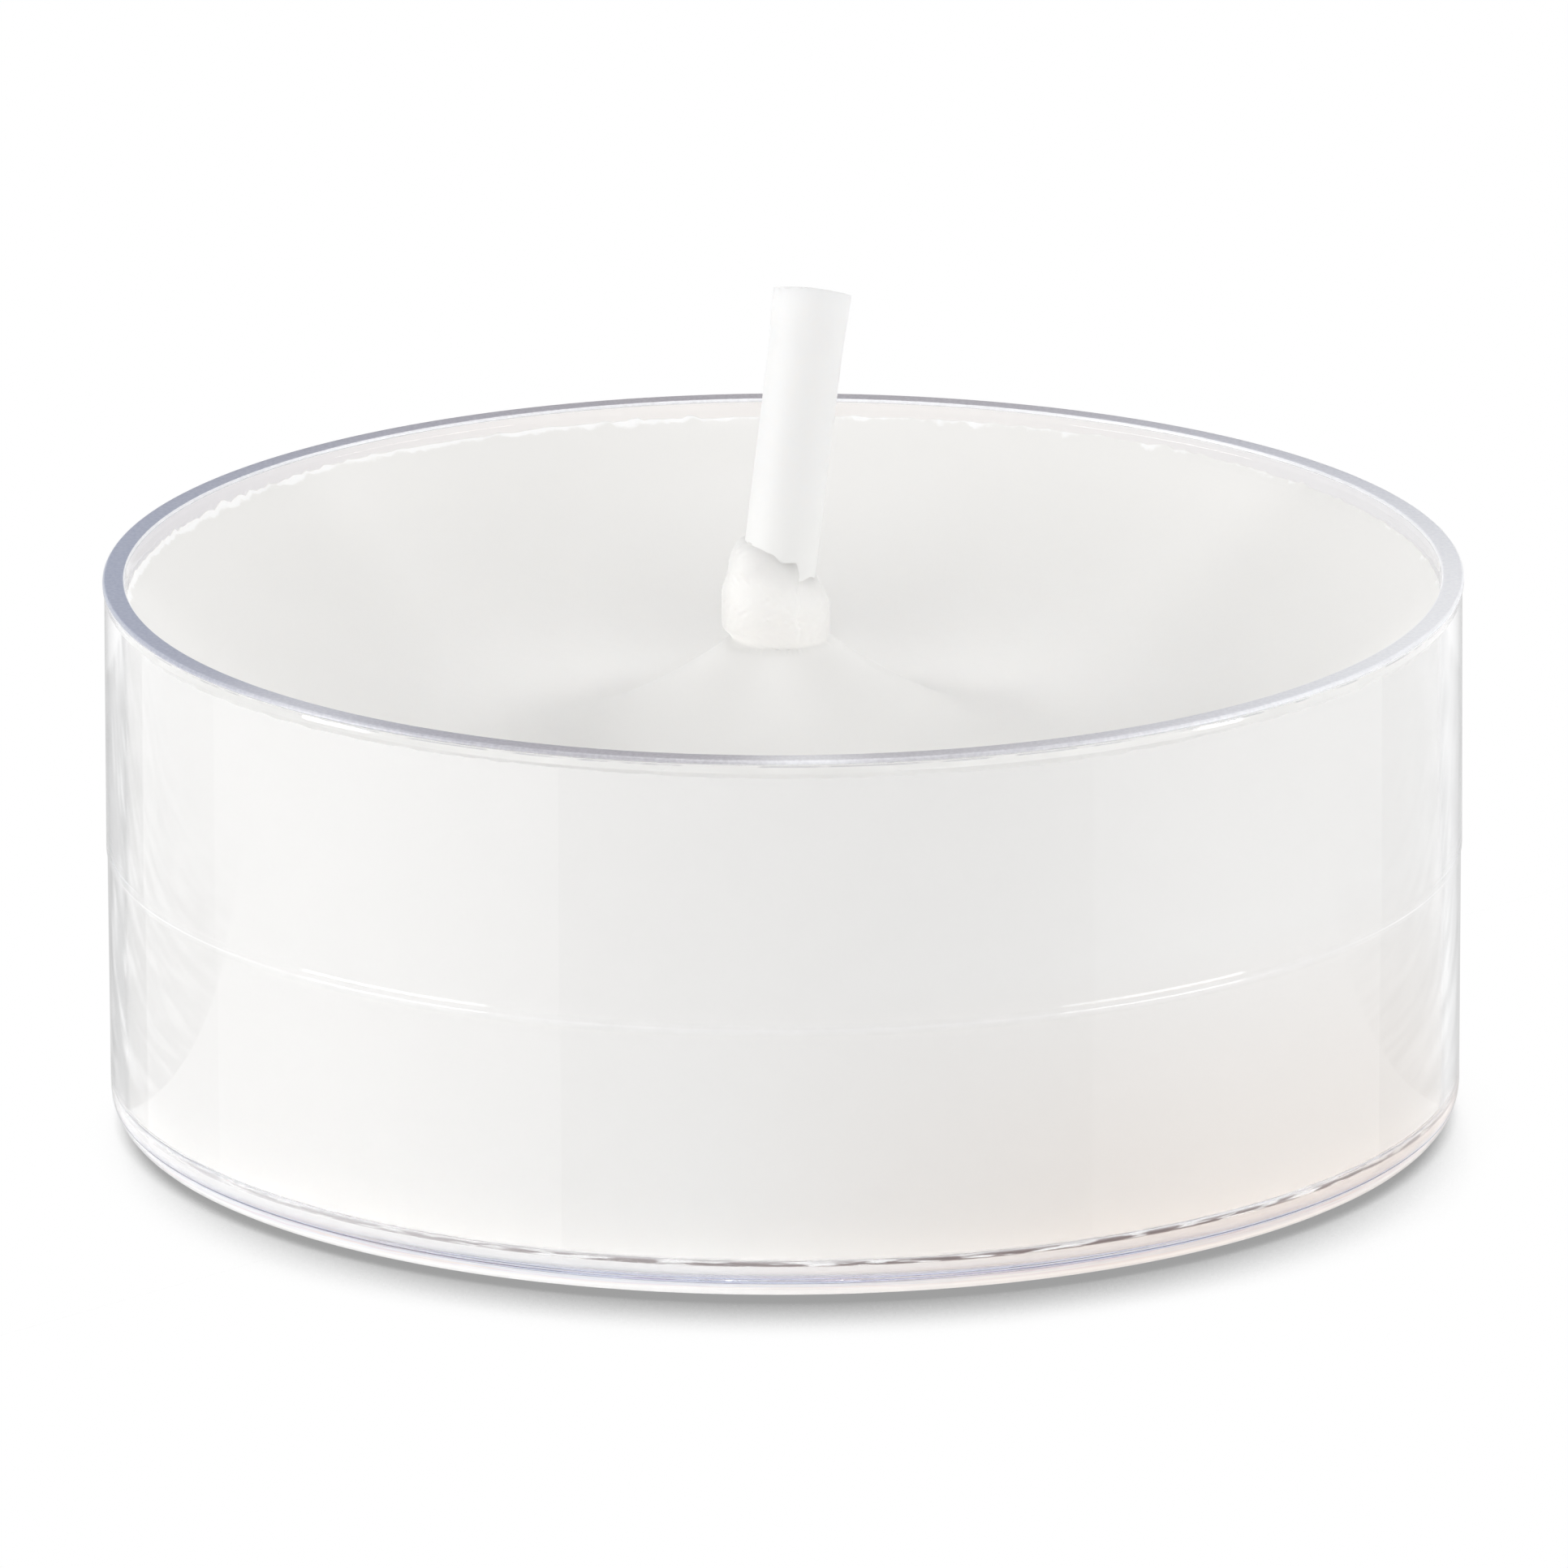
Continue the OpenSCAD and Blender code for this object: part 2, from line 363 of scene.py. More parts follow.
@dataclass(frozen=True)
class ClearPolycarbonate(Finish):
    """Polycarbonate, injection moulded in a polished tool: clear as glass, with a faint grey-blue cast.

    The rim face, where the two halves of the tool met, is left frosted and painted with light and shade. A thin film
    of wax hazes the wall over the fill. Faint coloured streaks at the base are painted rainbow light; painted shade
    lines the floor's corner, the mould line and the lip, and a painted highlight whitens the mould line.
    """

    name: ClassVar[str] = "injection-moulded clear polycarbonate"
    FROST: ClassVar[str] = "frost"
    FROST_LIGHT: ClassVar[str] = "painted_frost_light"
    HAZE: ClassVar[str] = "wax_haze"
    OUTSIDE: ClassVar[str] = "outside"
    SEAM_SHADE: ClassVar[str] = "painted_seam_shade"
    WARM: ClassVar[str] = "frost_warmth"
    # Share of each colour that the plastic keeps, at the density below
    deep_tint: str = "#C8CCDE"
    # Absorption for each metre of plastic
    density: float = 25.0
    # Refractive index of polycarbonate
    ior: float = 1.585
    # A polished tool leaves next to no haze
    roughness: float = 0.02
    frosted_roughness: float = 0.3
    # Painted shade and light on the frosted face: its shaded colour at the sides, its warmer shaded colour at the
    # front and the back, and its lit colour
    frost_shade: str = "#7A86A8"
    warm_frost_shade: str = "#7F7785"
    frost_light: str = "#FAFBFF"
    # Grain of the frosted face: its size, and how much it shifts the tone
    frost_grain: float = 0.12 * MM
    grain_shift: float = 0.2
    # Film of wax over the fill, at the sides and, warmer, at the back
    haze: str = "#CFCBD3"
    warm_haze: str = "#FFF8F3"
    # Mould line, frosted white as a painted highlight: its height, the width over which it fades, how frosted it is
    # there, and its colour
    line_z: float = 7.85 * MM
    line_width: float = 0.4 * MM
    line_highlight_frost: float = 0.22
    line_highlight_colour: str = "#FFFFFF"
    # Thin line of shade just above the mould line and under the lip: half its width, colour and strength
    shade_half: float = 0.025 * MM
    shade_colour: str = "#ECECEE"
    line_shade: float = 0.1
    lip_shade: float = 1.0
    # Painted shade in the corner of the floor, where the wax pulled away: a dark flecked line, and the levels of its
    # noise between which a fleck closes
    seam_shade_colour: str = "#66504F"
    fleck_length: float = 1.1 * MM
    fleck_height: float = 0.12 * MM
    fleck_levels: tuple[float, float] = (0.34, 0.5)
    # Height of the lip's lower edge, whose shade breaks up into dashes, the levels of their noise and their gain
    lip_line_z: float = 15.42 * MM
    dash_length: float = 1.4 * MM
    dash_levels: tuple[float, float] = (0.44, 0.54)
    dash_gain: float = 2.2
    # Painted rainbow light at the base edge: its height, and the shares of it between which its streaks fade out
    rainbow_height: float = 0.9 * MM
    rainbow_fade: tuple[float, float] = (0.7, 1.1)
    # Spacing of the painted rainbow streaks up the base edge, and how slowly they change round it
    streak_height: float = 0.09 * MM
    streak_length: float = 7.0 * MM
    # Colours of the streaks along their noise: white, pale blue, near white, rose, straw and white
    streak_colours: tuple[tuple[float, str], ...] = (
        (0.36, "#FFFFFF"), (0.45, "#DDE4F2"), (0.5, "#FBFBFF"), (0.55, "#D9C9DC"), (0.6, "#F6E6D8"),
        (0.68, "#FFFFFF"))

    def shade(self, tree: bpy.types.NodeTree) -> None:
        """Mixes clear plastic with plain transparency on shadow and diffuse rays, so that light reaches the wax.

        Args:
            tree: The material's empty node tree.
        """
        marks = {name: add_node(tree, "Attribute", attribute_name=name).outputs["Fac"]
                 for name in (self.FROST, self.FROST_LIGHT, self.HAZE, self.OUTSIDE, self.SEAM_SHADE, self.WARM)}
        place = add_node(tree, "TexCoord").outputs["Object"]
        line = self.mould_line(tree, place, marks[self.OUTSIDE])
        frost = marks[self.FROST]
        for other in (line, self.seam_shade_flecks(tree, place, marks[self.SEAM_SHADE])):
            frost = add_node(tree, "Math", operation="MAXIMUM", links={0: frost, 1: other}).outputs[0]
        colour = add_node(tree, "Mix", links={
            0: frost, 6: self.wall_colour(tree, place, marks), 7: self.frost_colour(tree, place, marks, line),
        }, data_type="RGBA")
        rough = add_node(tree, "Mix", {2: self.roughness, 3: self.frosted_roughness}, {0: frost})
        clear = add_node(tree, "Math", {0: 1.0}, {1: frost}, operation="SUBTRACT")
        plastic = add_node(tree, "BsdfPrincipled", {"IOR": self.ior}, {
            "Base Color": colour.outputs[2], "Roughness": rough.outputs[0], "Transmission Weight": clear.outputs[0],
        })
        open_way = add_node(tree, "BsdfTransparent")
        path = add_node(tree, "LightPath")
        lit_ray = add_node(tree, "Math", operation="MAXIMUM",
                           links={0: path.outputs["Is Shadow Ray"], 1: path.outputs["Is Diffuse Ray"]})
        surface = add_node(tree, "MixShader", links={
            0: lit_ray.outputs[0], 1: plastic.outputs[0], 2: open_way.outputs[0]})
        depth = add_node(tree, "VolumeAbsorption", {"Color": linear(self.deep_tint), "Density": self.density})
        add_node(tree, "OutputMaterial", links={"Surface": surface.outputs[0], "Volume": depth.outputs[0]})

    def mould_line(self, tree: bpy.types.NodeTree, place: bpy.types.NodeSocket,
                   outside: bpy.types.NodeSocket) -> bpy.types.NodeSocket:
        """Frosts the outer face white at the mould line as a painted highlight, less and less up to half the line's
        width from its middle.

        Args:
            tree: Node tree that takes the nodes.
            place: Object coordinates.
            outside: The mark of the outer face.

        Returns:
            How frosted the line is.
        """
        up = add_node(tree, "SeparateXYZ", links={0: place}).outputs["Z"]
        from_line = add_node(tree, "Math", {1: self.line_z}, {0: up}, operation="SUBTRACT")
        off_line = add_node(tree, "Math", operation="ABSOLUTE", links={0: from_line.outputs[0]})
        raised = add_node(tree, "MapRange", {
            "From Max": self.line_width / 2, "To Min": self.line_highlight_frost, "To Max": 0.0,
        }, {"Value": off_line.outputs[0]})
        return add_node(tree, "Math", operation="MULTIPLY", links={0: raised.outputs[0], 1: outside}).outputs[0]

    def seam_shade_flecks(self, tree: bpy.types.NodeTree, place: bpy.types.NodeSocket,
                    seam: bpy.types.NodeSocket) -> bpy.types.NodeSocket:
        """Breaks the painted shade of the seam at the floor up into flecks, by a noise stretched along it.

        Args:
            tree: Node tree that takes the nodes.
            place: Object coordinates.
            seam: The mark of the seam.

        Returns:
            How much of the seam shows.
        """
        along, up = 1 / self.fleck_length, 1 / self.fleck_height
        drawn_out = add_node(tree, "Mapping", {"Scale": (along, along, up)}, {"Vector": place})
        flecks = add_node(tree, "TexNoise", {"Scale": 1.0, "Detail": 4.0}, {"Vector": drawn_out.outputs[0]})
        low, high = self.fleck_levels
        closed = add_node(tree, "MapRange", {"From Min": low, "From Max": high}, {"Value": flecks.outputs["Fac"]})
        return add_node(tree, "Math", operation="MULTIPLY", links={0: seam, 1: closed.outputs[0]}).outputs[0]

    def wall_colour(self, tree: bpy.types.NodeTree, place: bpy.types.NodeSocket,
                    marks: dict[str, bpy.types.NodeSocket]) -> bpy.types.NodeSocket:
        """Colours the clear wall: the film of wax, the painted rainbow streaks at the base, and the painted shade of
        the line and the lip.

        Args:
            tree: Node tree that takes the nodes.
            place: Object coordinates.
            marks: The cup's marks by name.

        Returns:
            Colour of the clear plastic.
        """
        parts = add_node(tree, "SeparateXYZ", links={0: place})
        up = parts.outputs["Z"]

        def shade_line(middle: float, strength: float) -> bpy.types.NodeSocket:
            """Shades a thin line round the outer face.

            Args:
                middle: Height of the line's middle.
                strength: Strength of the shade.

            Returns:
                Socket with the strength on the line, and 0 elsewhere.
            """
            near = add_node(tree, "Math", {1: middle, 2: self.shade_half}, {0: up}, operation="COMPARE")
            full = add_node(tree, "Math", {1: strength}, {0: near.outputs[0]}, operation="MULTIPLY")
            return add_node(tree, "Math", operation="MULTIPLY", links={
                0: full.outputs[0], 1: marks[self.OUTSIDE]}).outputs[0]

        over_line = shade_line(self.line_z + 2 * self.shade_half, self.line_shade)
        dashes = add_node(tree, "TexNoise", {"Scale": 1 / self.dash_length, "Detail": 2.0}, {"Vector": place})
        low, high = self.dash_levels
        broken = add_node(tree, "MapRange", {"From Min": low, "From Max": high, "To Max": self.dash_gain},
                          {"Value": dashes.outputs["Fac"]})
        to_front = add_node(tree, "Math", {1: 0.0}, {0: parts.outputs["Y"]}, operation="LESS_THAN")
        dashed = add_node(tree, "Math", operation="MULTIPLY", links={0: broken.outputs[0], 1: to_front.outputs[0]})
        under_lip = add_node(tree, "Math", operation="MULTIPLY", links={
            0: shade_line(self.lip_line_z, self.lip_shade), 1: dashed.outputs[0]})
        shaded = add_node(tree, "Math", operation="MAXIMUM", links={0: over_line, 1: under_lip.outputs[0]})
        # Painted rainbow light in streaks at the base edge
        low, high = (share * self.rainbow_height for share in self.rainbow_fade)
        at_base = add_node(tree, "MapRange", {"From Min": low, "From Max": high, "To Min": 1.0, "To Max": 0.0},
                           {"Value": up})
        rainbow = add_node(tree, "Math", operation="MULTIPLY", links={0: at_base.outputs[0], 1: marks[self.OUTSIDE]})
        film = add_node(tree, "Mix", {6: linear(self.haze), 7: linear(self.warm_haze)}, {0: marks[self.WARM]},
                        data_type="RGBA")
        hazed = add_node(tree, "Mix", {6: linear("#FFFFFF")}, {0: marks[self.HAZE], 7: film.outputs[2]},
                         data_type="RGBA")
        streaked = add_node(tree, "Mix", data_type="RGBA", links={
            0: rainbow.outputs[0], 6: hazed.outputs[2], 7: self.rainbow_colours(tree, place)})
        return add_node(tree, "Mix", {7: linear(self.shade_colour)}, {0: shaded.outputs[0], 6: streaked.outputs[2]},
                        data_type="RGBA", clamp_factor=False).outputs[2]

    def frost_colour(self, tree: bpy.types.NodeTree, place: bpy.types.NodeSocket,
                     marks: dict[str, bpy.types.NodeSocket], line: bpy.types.NodeSocket) -> bpy.types.NodeSocket:
        """Colours what is frosted: the rim face from painted shade to painted light, the seam in painted shade and
        the mould line white as a painted highlight.

        Args:
            tree: Node tree that takes the nodes.
            place: Object coordinates.
            marks: The cup's marks by name.
            line: How frosted the mould line is.

        Returns:
            Colour of the frosted plastic.
        """
        # The rim's tone is painted light and shade, from its shaded to its lit colour, with a random grain on it
        grain = add_node(tree, "TexNoise", {"Scale": 1 / self.frost_grain, "Detail": 2.0}, {"Vector": place})
        grained = add_node(tree, "MapRange", {"To Min": -self.grain_shift, "To Max": self.grain_shift},
                           {"Value": grain.outputs["Fac"]})
        level = add_node(tree, "Math", operation="ADD", links={0: marks[self.FROST_LIGHT], 1: grained.outputs[0]})
        # The mould line is painted white: a painted highlight
        on_line = add_node(tree, "Math", {1: 0.0}, {0: line}, operation="GREATER_THAN")
        colour = add_node(tree, "Mix", {6: linear(self.frost_shade), 7: linear(self.warm_frost_shade)},
                          {0: marks[self.WARM]}, data_type="RGBA").outputs[2]
        for over, share in ((self.frost_light, level.outputs[0]), (self.seam_shade_colour, marks[self.SEAM_SHADE]),
                            (self.line_highlight_colour, on_line.outputs[0])):
            colour = add_node(tree, "Mix", {7: linear(over)}, {0: share, 6: colour}, data_type="RGBA").outputs[2]
        return colour

    def rainbow_colours(self, tree: bpy.types.NodeTree, place: bpy.types.NodeSocket) -> bpy.types.NodeSocket:
        """Gives the colours of the painted rainbow streaks, from a noise stretched round the cup.

        Args:
            tree: Node tree that takes the nodes.
            place: Object coordinates.

        Returns:
            Colour of the streaks at each place.
        """
        along, up = 1 / self.streak_length, 1 / self.streak_height
        stretched = add_node(tree, "Mapping", {"Scale": (along, along, up)}, {"Vector": place})
        noise = add_node(tree, "TexNoise", {"Scale": 1.0, "Detail": 3.0, "Roughness": 0.6},
                         {"Vector": stretched.outputs[0]})
        ramp = add_node(tree, "ValToRGB", links={"Fac": noise.outputs["Fac"]})
        stops = ramp.color_ramp.elements
        for level, _ in self.streak_colours[1:-1]:
            stops.new(level)
        for stop, (level, colour) in zip(stops, self.streak_colours):
            stop.position, stop.color = level, linear(colour)
        return ramp.outputs["Color"]


@dataclass(frozen=True)
class ParaffinWax(Finish):
    """Paraffin, cast and slowly cooled: a soft white that light sinks into, with a satin skin and a fine grain."""

    name: ClassVar[str] = "cast paraffin wax"
    DEPTH: ClassVar[str] = "wax_depth"
    CREST_LIGHT: ClassVar[str] = "crest_painted_light"
    colour: str = "#F3F2F0"
    # Refractive index of paraffin
    ior: float = 1.44
    roughness: float = 0.42
    # How far light spreads inside the wax, and the share of that for red, green and blue
    spread: float = 1.8 * MM
    spread_shares: tuple[float, float, float] = (1.0, 0.95, 0.88)
    # The thin torn crest at the wall is painted whiter and given a faint painted glow, for the light it lets through
    crest_lit_colour: str = "#FFFFFF"
    crest_light: float = 0.04
    # Ragged lower edge of the crest's painted light: size of its noise, the noise's gain and shift, and the mark at
    # which it is all white
    tear_size: float = 0.7 * MM
    tear_gain: float = 1.3
    tear_shift: float = -1.1
    crest_full: float = 0.22
    # Painted warm shade low on the right: its colour, where it starts and is full towards +X, and the height where it
    # ends
    cast: str = "#EBE3DC"
    cast_from: float = -2.0 * MM
    cast_full: float = 9.0 * MM
    cast_top: float = 9.0 * MM
    # Crystal grain of the cooled skin
    grain_size: float = 0.5 * MM
    grain_height: float = 0.006 * MM

    def shade(self, tree: bpy.types.NodeTree) -> None:
        """Spreads light under the skin and roughens it with the grain of the cooled surface.

        Paints light on the crest, which whitens it and makes it glow faintly, and warm shade low on the right.

        Args:
            tree: The material's empty node tree.
        """
        place = add_node(tree, "TexCoord").outputs["Object"]
        grain = add_node(tree, "TexNoise", {"Scale": 1 / self.grain_size, "Detail": 4.0}, {"Vector": place})
        bump = add_node(tree, "Bump", {"Distance": self.grain_height}, {"Height": grain.outputs["Fac"]})
        depth = add_node(tree, "Attribute", attribute_name=self.DEPTH).outputs["Fac"]
        crest = add_node(tree, "Attribute", attribute_name=self.CREST_LIGHT).outputs["Fac"]
        torn = add_node(tree, "TexNoise", {"Scale": 1 / self.tear_size, "Detail": 3.0}, {"Vector": place})
        ragged = add_node(tree, "Math", {1: self.tear_gain, 2: self.tear_shift}, {0: torn.outputs["Fac"]},
                          operation="MULTIPLY_ADD")
        edge = add_node(tree, "Math", operation="ADD", links={0: crest, 1: ragged.outputs[0]})
        # The crest is painted whiter and made to glow faintly: painted light
        white = add_node(tree, "MapRange", {"From Max": self.crest_full}, {"Value": edge.outputs[0]})
        parts = add_node(tree, "SeparateXYZ", links={0: place})
        # Painted warm shade low on the right
        aside = add_node(tree, "MapRange", {"From Min": self.cast_from, "From Max": self.cast_full},
                         {"Value": parts.outputs["X"]})
        low = add_node(tree, "MapRange", {"From Max": self.cast_top, "To Min": 1.0, "To Max": 0.0},
                       {"Value": parts.outputs["Z"]})
        share = add_node(tree, "Math", operation="MULTIPLY", links={0: aside.outputs[0], 1: low.outputs[0]})
        skin_colour = add_node(tree, "Mix", {6: linear(self.colour), 7: linear(self.cast)}, {0: share.outputs[0]},
                               data_type="RGBA")
        colour = add_node(tree, "Mix", {7: linear(self.crest_lit_colour)},
                          {0: white.outputs[0], 6: skin_colour.outputs[2]}, data_type="RGBA")
        through = add_node(tree, "Math", {1: self.crest_light}, {0: white.outputs[0]}, operation="MULTIPLY")
        skin = add_node(tree, "BsdfPrincipled", {
            "Roughness": self.roughness, "IOR": self.ior,
            "Subsurface Radius": self.spread_shares, "Subsurface Scale": self.spread,
            "Emission Color": linear(self.crest_lit_colour),
        }, {"Base Color": colour.outputs[2], "Normal": bump.outputs["Normal"], "Subsurface Weight": depth,
            "Emission Strength": through.outputs[0]}, subsurface_method="BURLEY")
        add_node(tree, "OutputMaterial", links={"Surface": skin.outputs[0]})


@dataclass(frozen=True)
class WaxedCotton(Finish):
    """Braided cotton, dipped in wax and drawn smooth: white and satin, with only a trace of the braid's ribs."""

    name: ClassVar[str] = "wax-dipped cotton wick"
    DEPTH: ClassVar[str] = "wick_depth"
    colour: str = "#FCFCFB"
    # Refractive index of the wax that it is dipped in
    ior: float = 1.44
    roughness: float = 0.36
    # How far light spreads in the dip, and the share of that for red, green and blue
    spread: float = 0.9 * MM
    spread_shares: tuple[float, float, float] = (1.0, 0.97, 0.94)
    # Braid under the wax: its pitch, the share of its fineness that it keeps along the wick, and its height
    braid_pitch: float = 0.45 * MM
    braid_stretch: float = 0.25
    braid_height: float = 0.004 * MM

    def shade(self, tree: bpy.types.NodeTree) -> None:
        """Stretches a fine noise along the wick, for the braid that shows through the dip.

        Args:
            tree: The material's empty node tree.
        """
        place = add_node(tree, "TexCoord").outputs["Object"]
        drawn = add_node(tree, "Mapping", {"Scale": (1.0, 1.0, self.braid_stretch)}, {"Vector": place})
        braid = add_node(tree, "TexNoise", {"Scale": 1 / self.braid_pitch, "Detail": 3.0},
                         {"Vector": drawn.outputs[0]})
        bump = add_node(tree, "Bump", {"Distance": self.braid_height}, {"Height": braid.outputs["Fac"]})
        depth = add_node(tree, "Attribute", attribute_name=self.DEPTH).outputs["Fac"]
        skin = add_node(tree, "BsdfPrincipled", {
            "Base Color": linear(self.colour), "Roughness": self.roughness, "IOR": self.ior,
            "Subsurface Radius": self.spread_shares, "Subsurface Scale": self.spread,
        }, {"Normal": bump.outputs["Normal"], "Subsurface Weight": depth})
        add_node(tree, "OutputMaterial", links={"Surface": skin.outputs[0]})


@dataclass(frozen=True)
class Tinplate(Finish):
    """Tin-plated steel strip, rolled and stamped: a pale metal with faint straight rolling lines."""

    name: ClassVar[str] = "stamped tinplate"
    colour: str = "#C9CBCC"
    # Roughness, from the bright ridges of the rolling lines to their dull grooves
    roughness: tuple[float, float] = (0.2, 0.38)
    # Rolling lines: their spacing, the share of their fineness that they keep along X, and their height
    line_pitch: float = 0.12 * MM
    line_stretch: float = 0.03
    line_height: float = 0.002 * MM

    def shade(self, tree: bpy.types.NodeTree) -> None:
        """Draws the rolling lines along X, in the bump and in the roughness.

        Args:
            tree: The material's empty node tree.
        """
        place = add_node(tree, "TexCoord").outputs["Object"]
        rolled = add_node(tree, "Mapping", {"Scale": (self.line_stretch, 1.0, 1.0)}, {"Vector": place})
        lines = add_node(tree, "TexNoise", {"Scale": 1 / self.line_pitch, "Detail": 3.0},
                         {"Vector": rolled.outputs[0]})
        bright, dull = self.roughness
        rough = add_node(tree, "MapRange", {"To Min": bright, "To Max": dull}, {"Value": lines.outputs["Fac"]})
        bump = add_node(tree, "Bump", {"Distance": self.line_height}, {"Height": lines.outputs["Fac"]})
        metal = add_node(tree, "BsdfPrincipled", {"Base Color": linear(self.colour), "Metallic": 1.0},
                         {"Roughness": rough.outputs[0], "Normal": bump.outputs["Normal"]})
        add_node(tree, "OutputMaterial", links={"Surface": metal.outputs[0]})


@dataclass(frozen=True)
class WhiteTable(Finish):
    """Translucent white table: shown as white paper that keeps the candle's shade on its front side.

    The plastic mirrors the studio in place of the table, and the table is greyer just beside the candle's back, which
    draws the edges of the clear plastic. The table shows from above only, so that the candle can be seen from below.
    """

    name: ClassVar[str] = "translucent white studio table"
    colour: str = "#F2F2F2"
    # Light that comes up through the table, and through the clear floor of the cup, and that floor's radius
    glow: float = 0.06
    floor_glow: float = 0.5
    floor_r: float = 18.9 * MM
    # How bright the clear plastic shows the table, and a strip beside the candle where it is darkest
    through_plastic: float = 0.93
    strip_level: float = 0.45
    # Strength of the strips, and half the width over which one side's goes over into the other's
    left_strip: float = 1.8
    right_strip: float = 0.8
    side_fade: float = 1.0 * MM
    # Where a strip starts and the width of that edge, where it begins to fade, and how far back it reaches
    strip_start: float = 18.9 * MM
    start_fade: float = 0.5 * MM
    strip_end: float = 28.0 * MM
    strip_depth: float = 45.0 * MM
    # Streaks in the strips: their width, their length, and the levels of their noise from none to full
    strip_pitch: float = 1.2 * MM
    strip_length: float = 8.0 * MM
    streak_levels: tuple[float, float] = (0.35, 0.65)
    # The shade: how far it reaches, how far its light is tilted back and to the side, and how dark it is at the foot
    shade_reach: float = 6.0 * MM
    light_tilt: float = math.radians(45)
    light_side: float = -0.06
    darkest: float = 0.35
    # Share of open sky at the foot, and where the shade ends
    open_at_foot: float = 0.3
    open_outside: float = 0.58
    sky_samples: int = 16

    def shade(self, tree: bpy.types.NodeTree) -> None:
        """Shows the table white on the rays that see it, less the sky that the candle hides on its back side.

        Args:
            tree: The material's empty node tree.
        """
        back = Vector((self.light_side, math.sin(self.light_tilt), math.cos(self.light_tilt))).normalized()
        tilted = add_node(tree, "CombineXYZ", dict(zip("XYZ", back)))
        sky = add_node(tree, "AmbientOcclusion", {"Distance": self.shade_reach}, {"Normal": tilted.outputs[0]},
                       samples=self.sky_samples)
        level = add_node(tree, "MapRange", {
            "From Min": self.open_at_foot, "From Max": self.open_outside, "To Min": self.darkest, "To Max": 1.0,
        }, {"Value": sky.outputs["AO"]})
        strength = add_node(tree, "Mix", links={0: glass_ray(tree), 2: level.outputs[0], 3: self.strips(tree)})
        shown = add_node(tree, "Emission", links={"Strength": strength.outputs[0]})
        matt = add_node(tree, "BsdfDiffuse", {"Color": linear(self.colour)})
        place = add_node(tree, "TexCoord").outputs["Object"]
        from_axis = add_node(tree, "VectorMath", operation="LENGTH", links={0: place})
        under = add_node(tree, "Math", {1: self.floor_r}, {0: from_axis.outputs["Value"]}, operation="LESS_THAN")
        coming_up = add_node(tree, "MapRange", {"To Min": self.glow, "To Max": self.floor_glow},
                             {"Value": under.outputs[0]})
        glow = add_node(tree, "Emission", links={"Strength": coming_up.outputs[0]})
        lit = add_node(tree, "AddShader", links={0: matt.outputs[0], 1: glow.outputs[0]})
        surface = add_node(tree, "MixShader", links={0: seen_ray(tree), 1: lit.outputs[0], 2: shown.outputs[0]})
        open_way = add_node(tree, "BsdfTransparent")
        unseen = add_node(tree, "Math", operation="MAXIMUM", links={
            0: mirror_ray(tree), 1: add_node(tree, "NewGeometry").outputs["Backfacing"]})
        table = add_node(tree, "MixShader", links={
            0: unseen.outputs[0], 1: surface.outputs[0], 2: open_way.outputs[0]})
        add_node(tree, "OutputMaterial", links={"Surface": table.outputs[0]})

    def strips(self, tree: bpy.types.NodeTree) -> bpy.types.NodeSocket:
        """Works out the table's level through the plastic: even, with a streaky strip on each side at the back.

        Args:
            tree: Node tree that takes the nodes.

        Returns:
            The level at each place.
        """
        place = add_node(tree, "TexCoord").outputs["Object"]
        parts = add_node(tree, "SeparateXYZ", links={0: place})
        aside = add_node(tree, "Math", operation="ABSOLUTE", links={0: parts.outputs["X"]})
        drawn_out = add_node(tree, "Mapping", {"Scale": (1 / self.strip_pitch, 1 / self.strip_length, 1.0)},
                             {"Vector": place})
        noise = add_node(tree, "TexNoise", {"Scale": 1.0, "Detail": 3.0}, {"Vector": drawn_out.outputs[0]})
        low, high = self.streak_levels
        streaks = add_node(tree, "MapRange", {"From Min": low, "From Max": high}, {"Value": noise.outputs["Fac"]})
        start = add_node(tree, "MapRange", {
            "From Min": self.strip_start, "From Max": self.strip_start + self.start_fade,
        }, {"Value": aside.outputs[0]})
        end = add_node(tree, "MapRange", {
            "From Min": self.strip_end, "From Max": 2 * self.strip_end, "To Min": 1.0, "To Max": 0.0,
        }, {"Value": aside.outputs[0]})
        behind = add_node(tree, "Math", {1: self.strip_depth / 2, 2: self.strip_depth / 2}, {0: parts.outputs["Y"]},
                          operation="COMPARE")
        left_more = add_node(tree, "MapRange", {
            "From Min": -self.side_fade, "From Max": self.side_fade, "To Min": self.left_strip,
            "To Max": self.right_strip}, {"Value": parts.outputs["X"]})
        share = streaks.outputs[0]
        for factor in (left_more, start, end, behind):
            share = add_node(tree, "Math", operation="MULTIPLY", links={0: share, 1: factor.outputs[0]}).outputs[0]
        return add_node(tree, "MapRange", {"To Min": self.through_plastic, "To Max": self.strip_level},
                        {"Value": share}).outputs[0]


# The candle's pieces


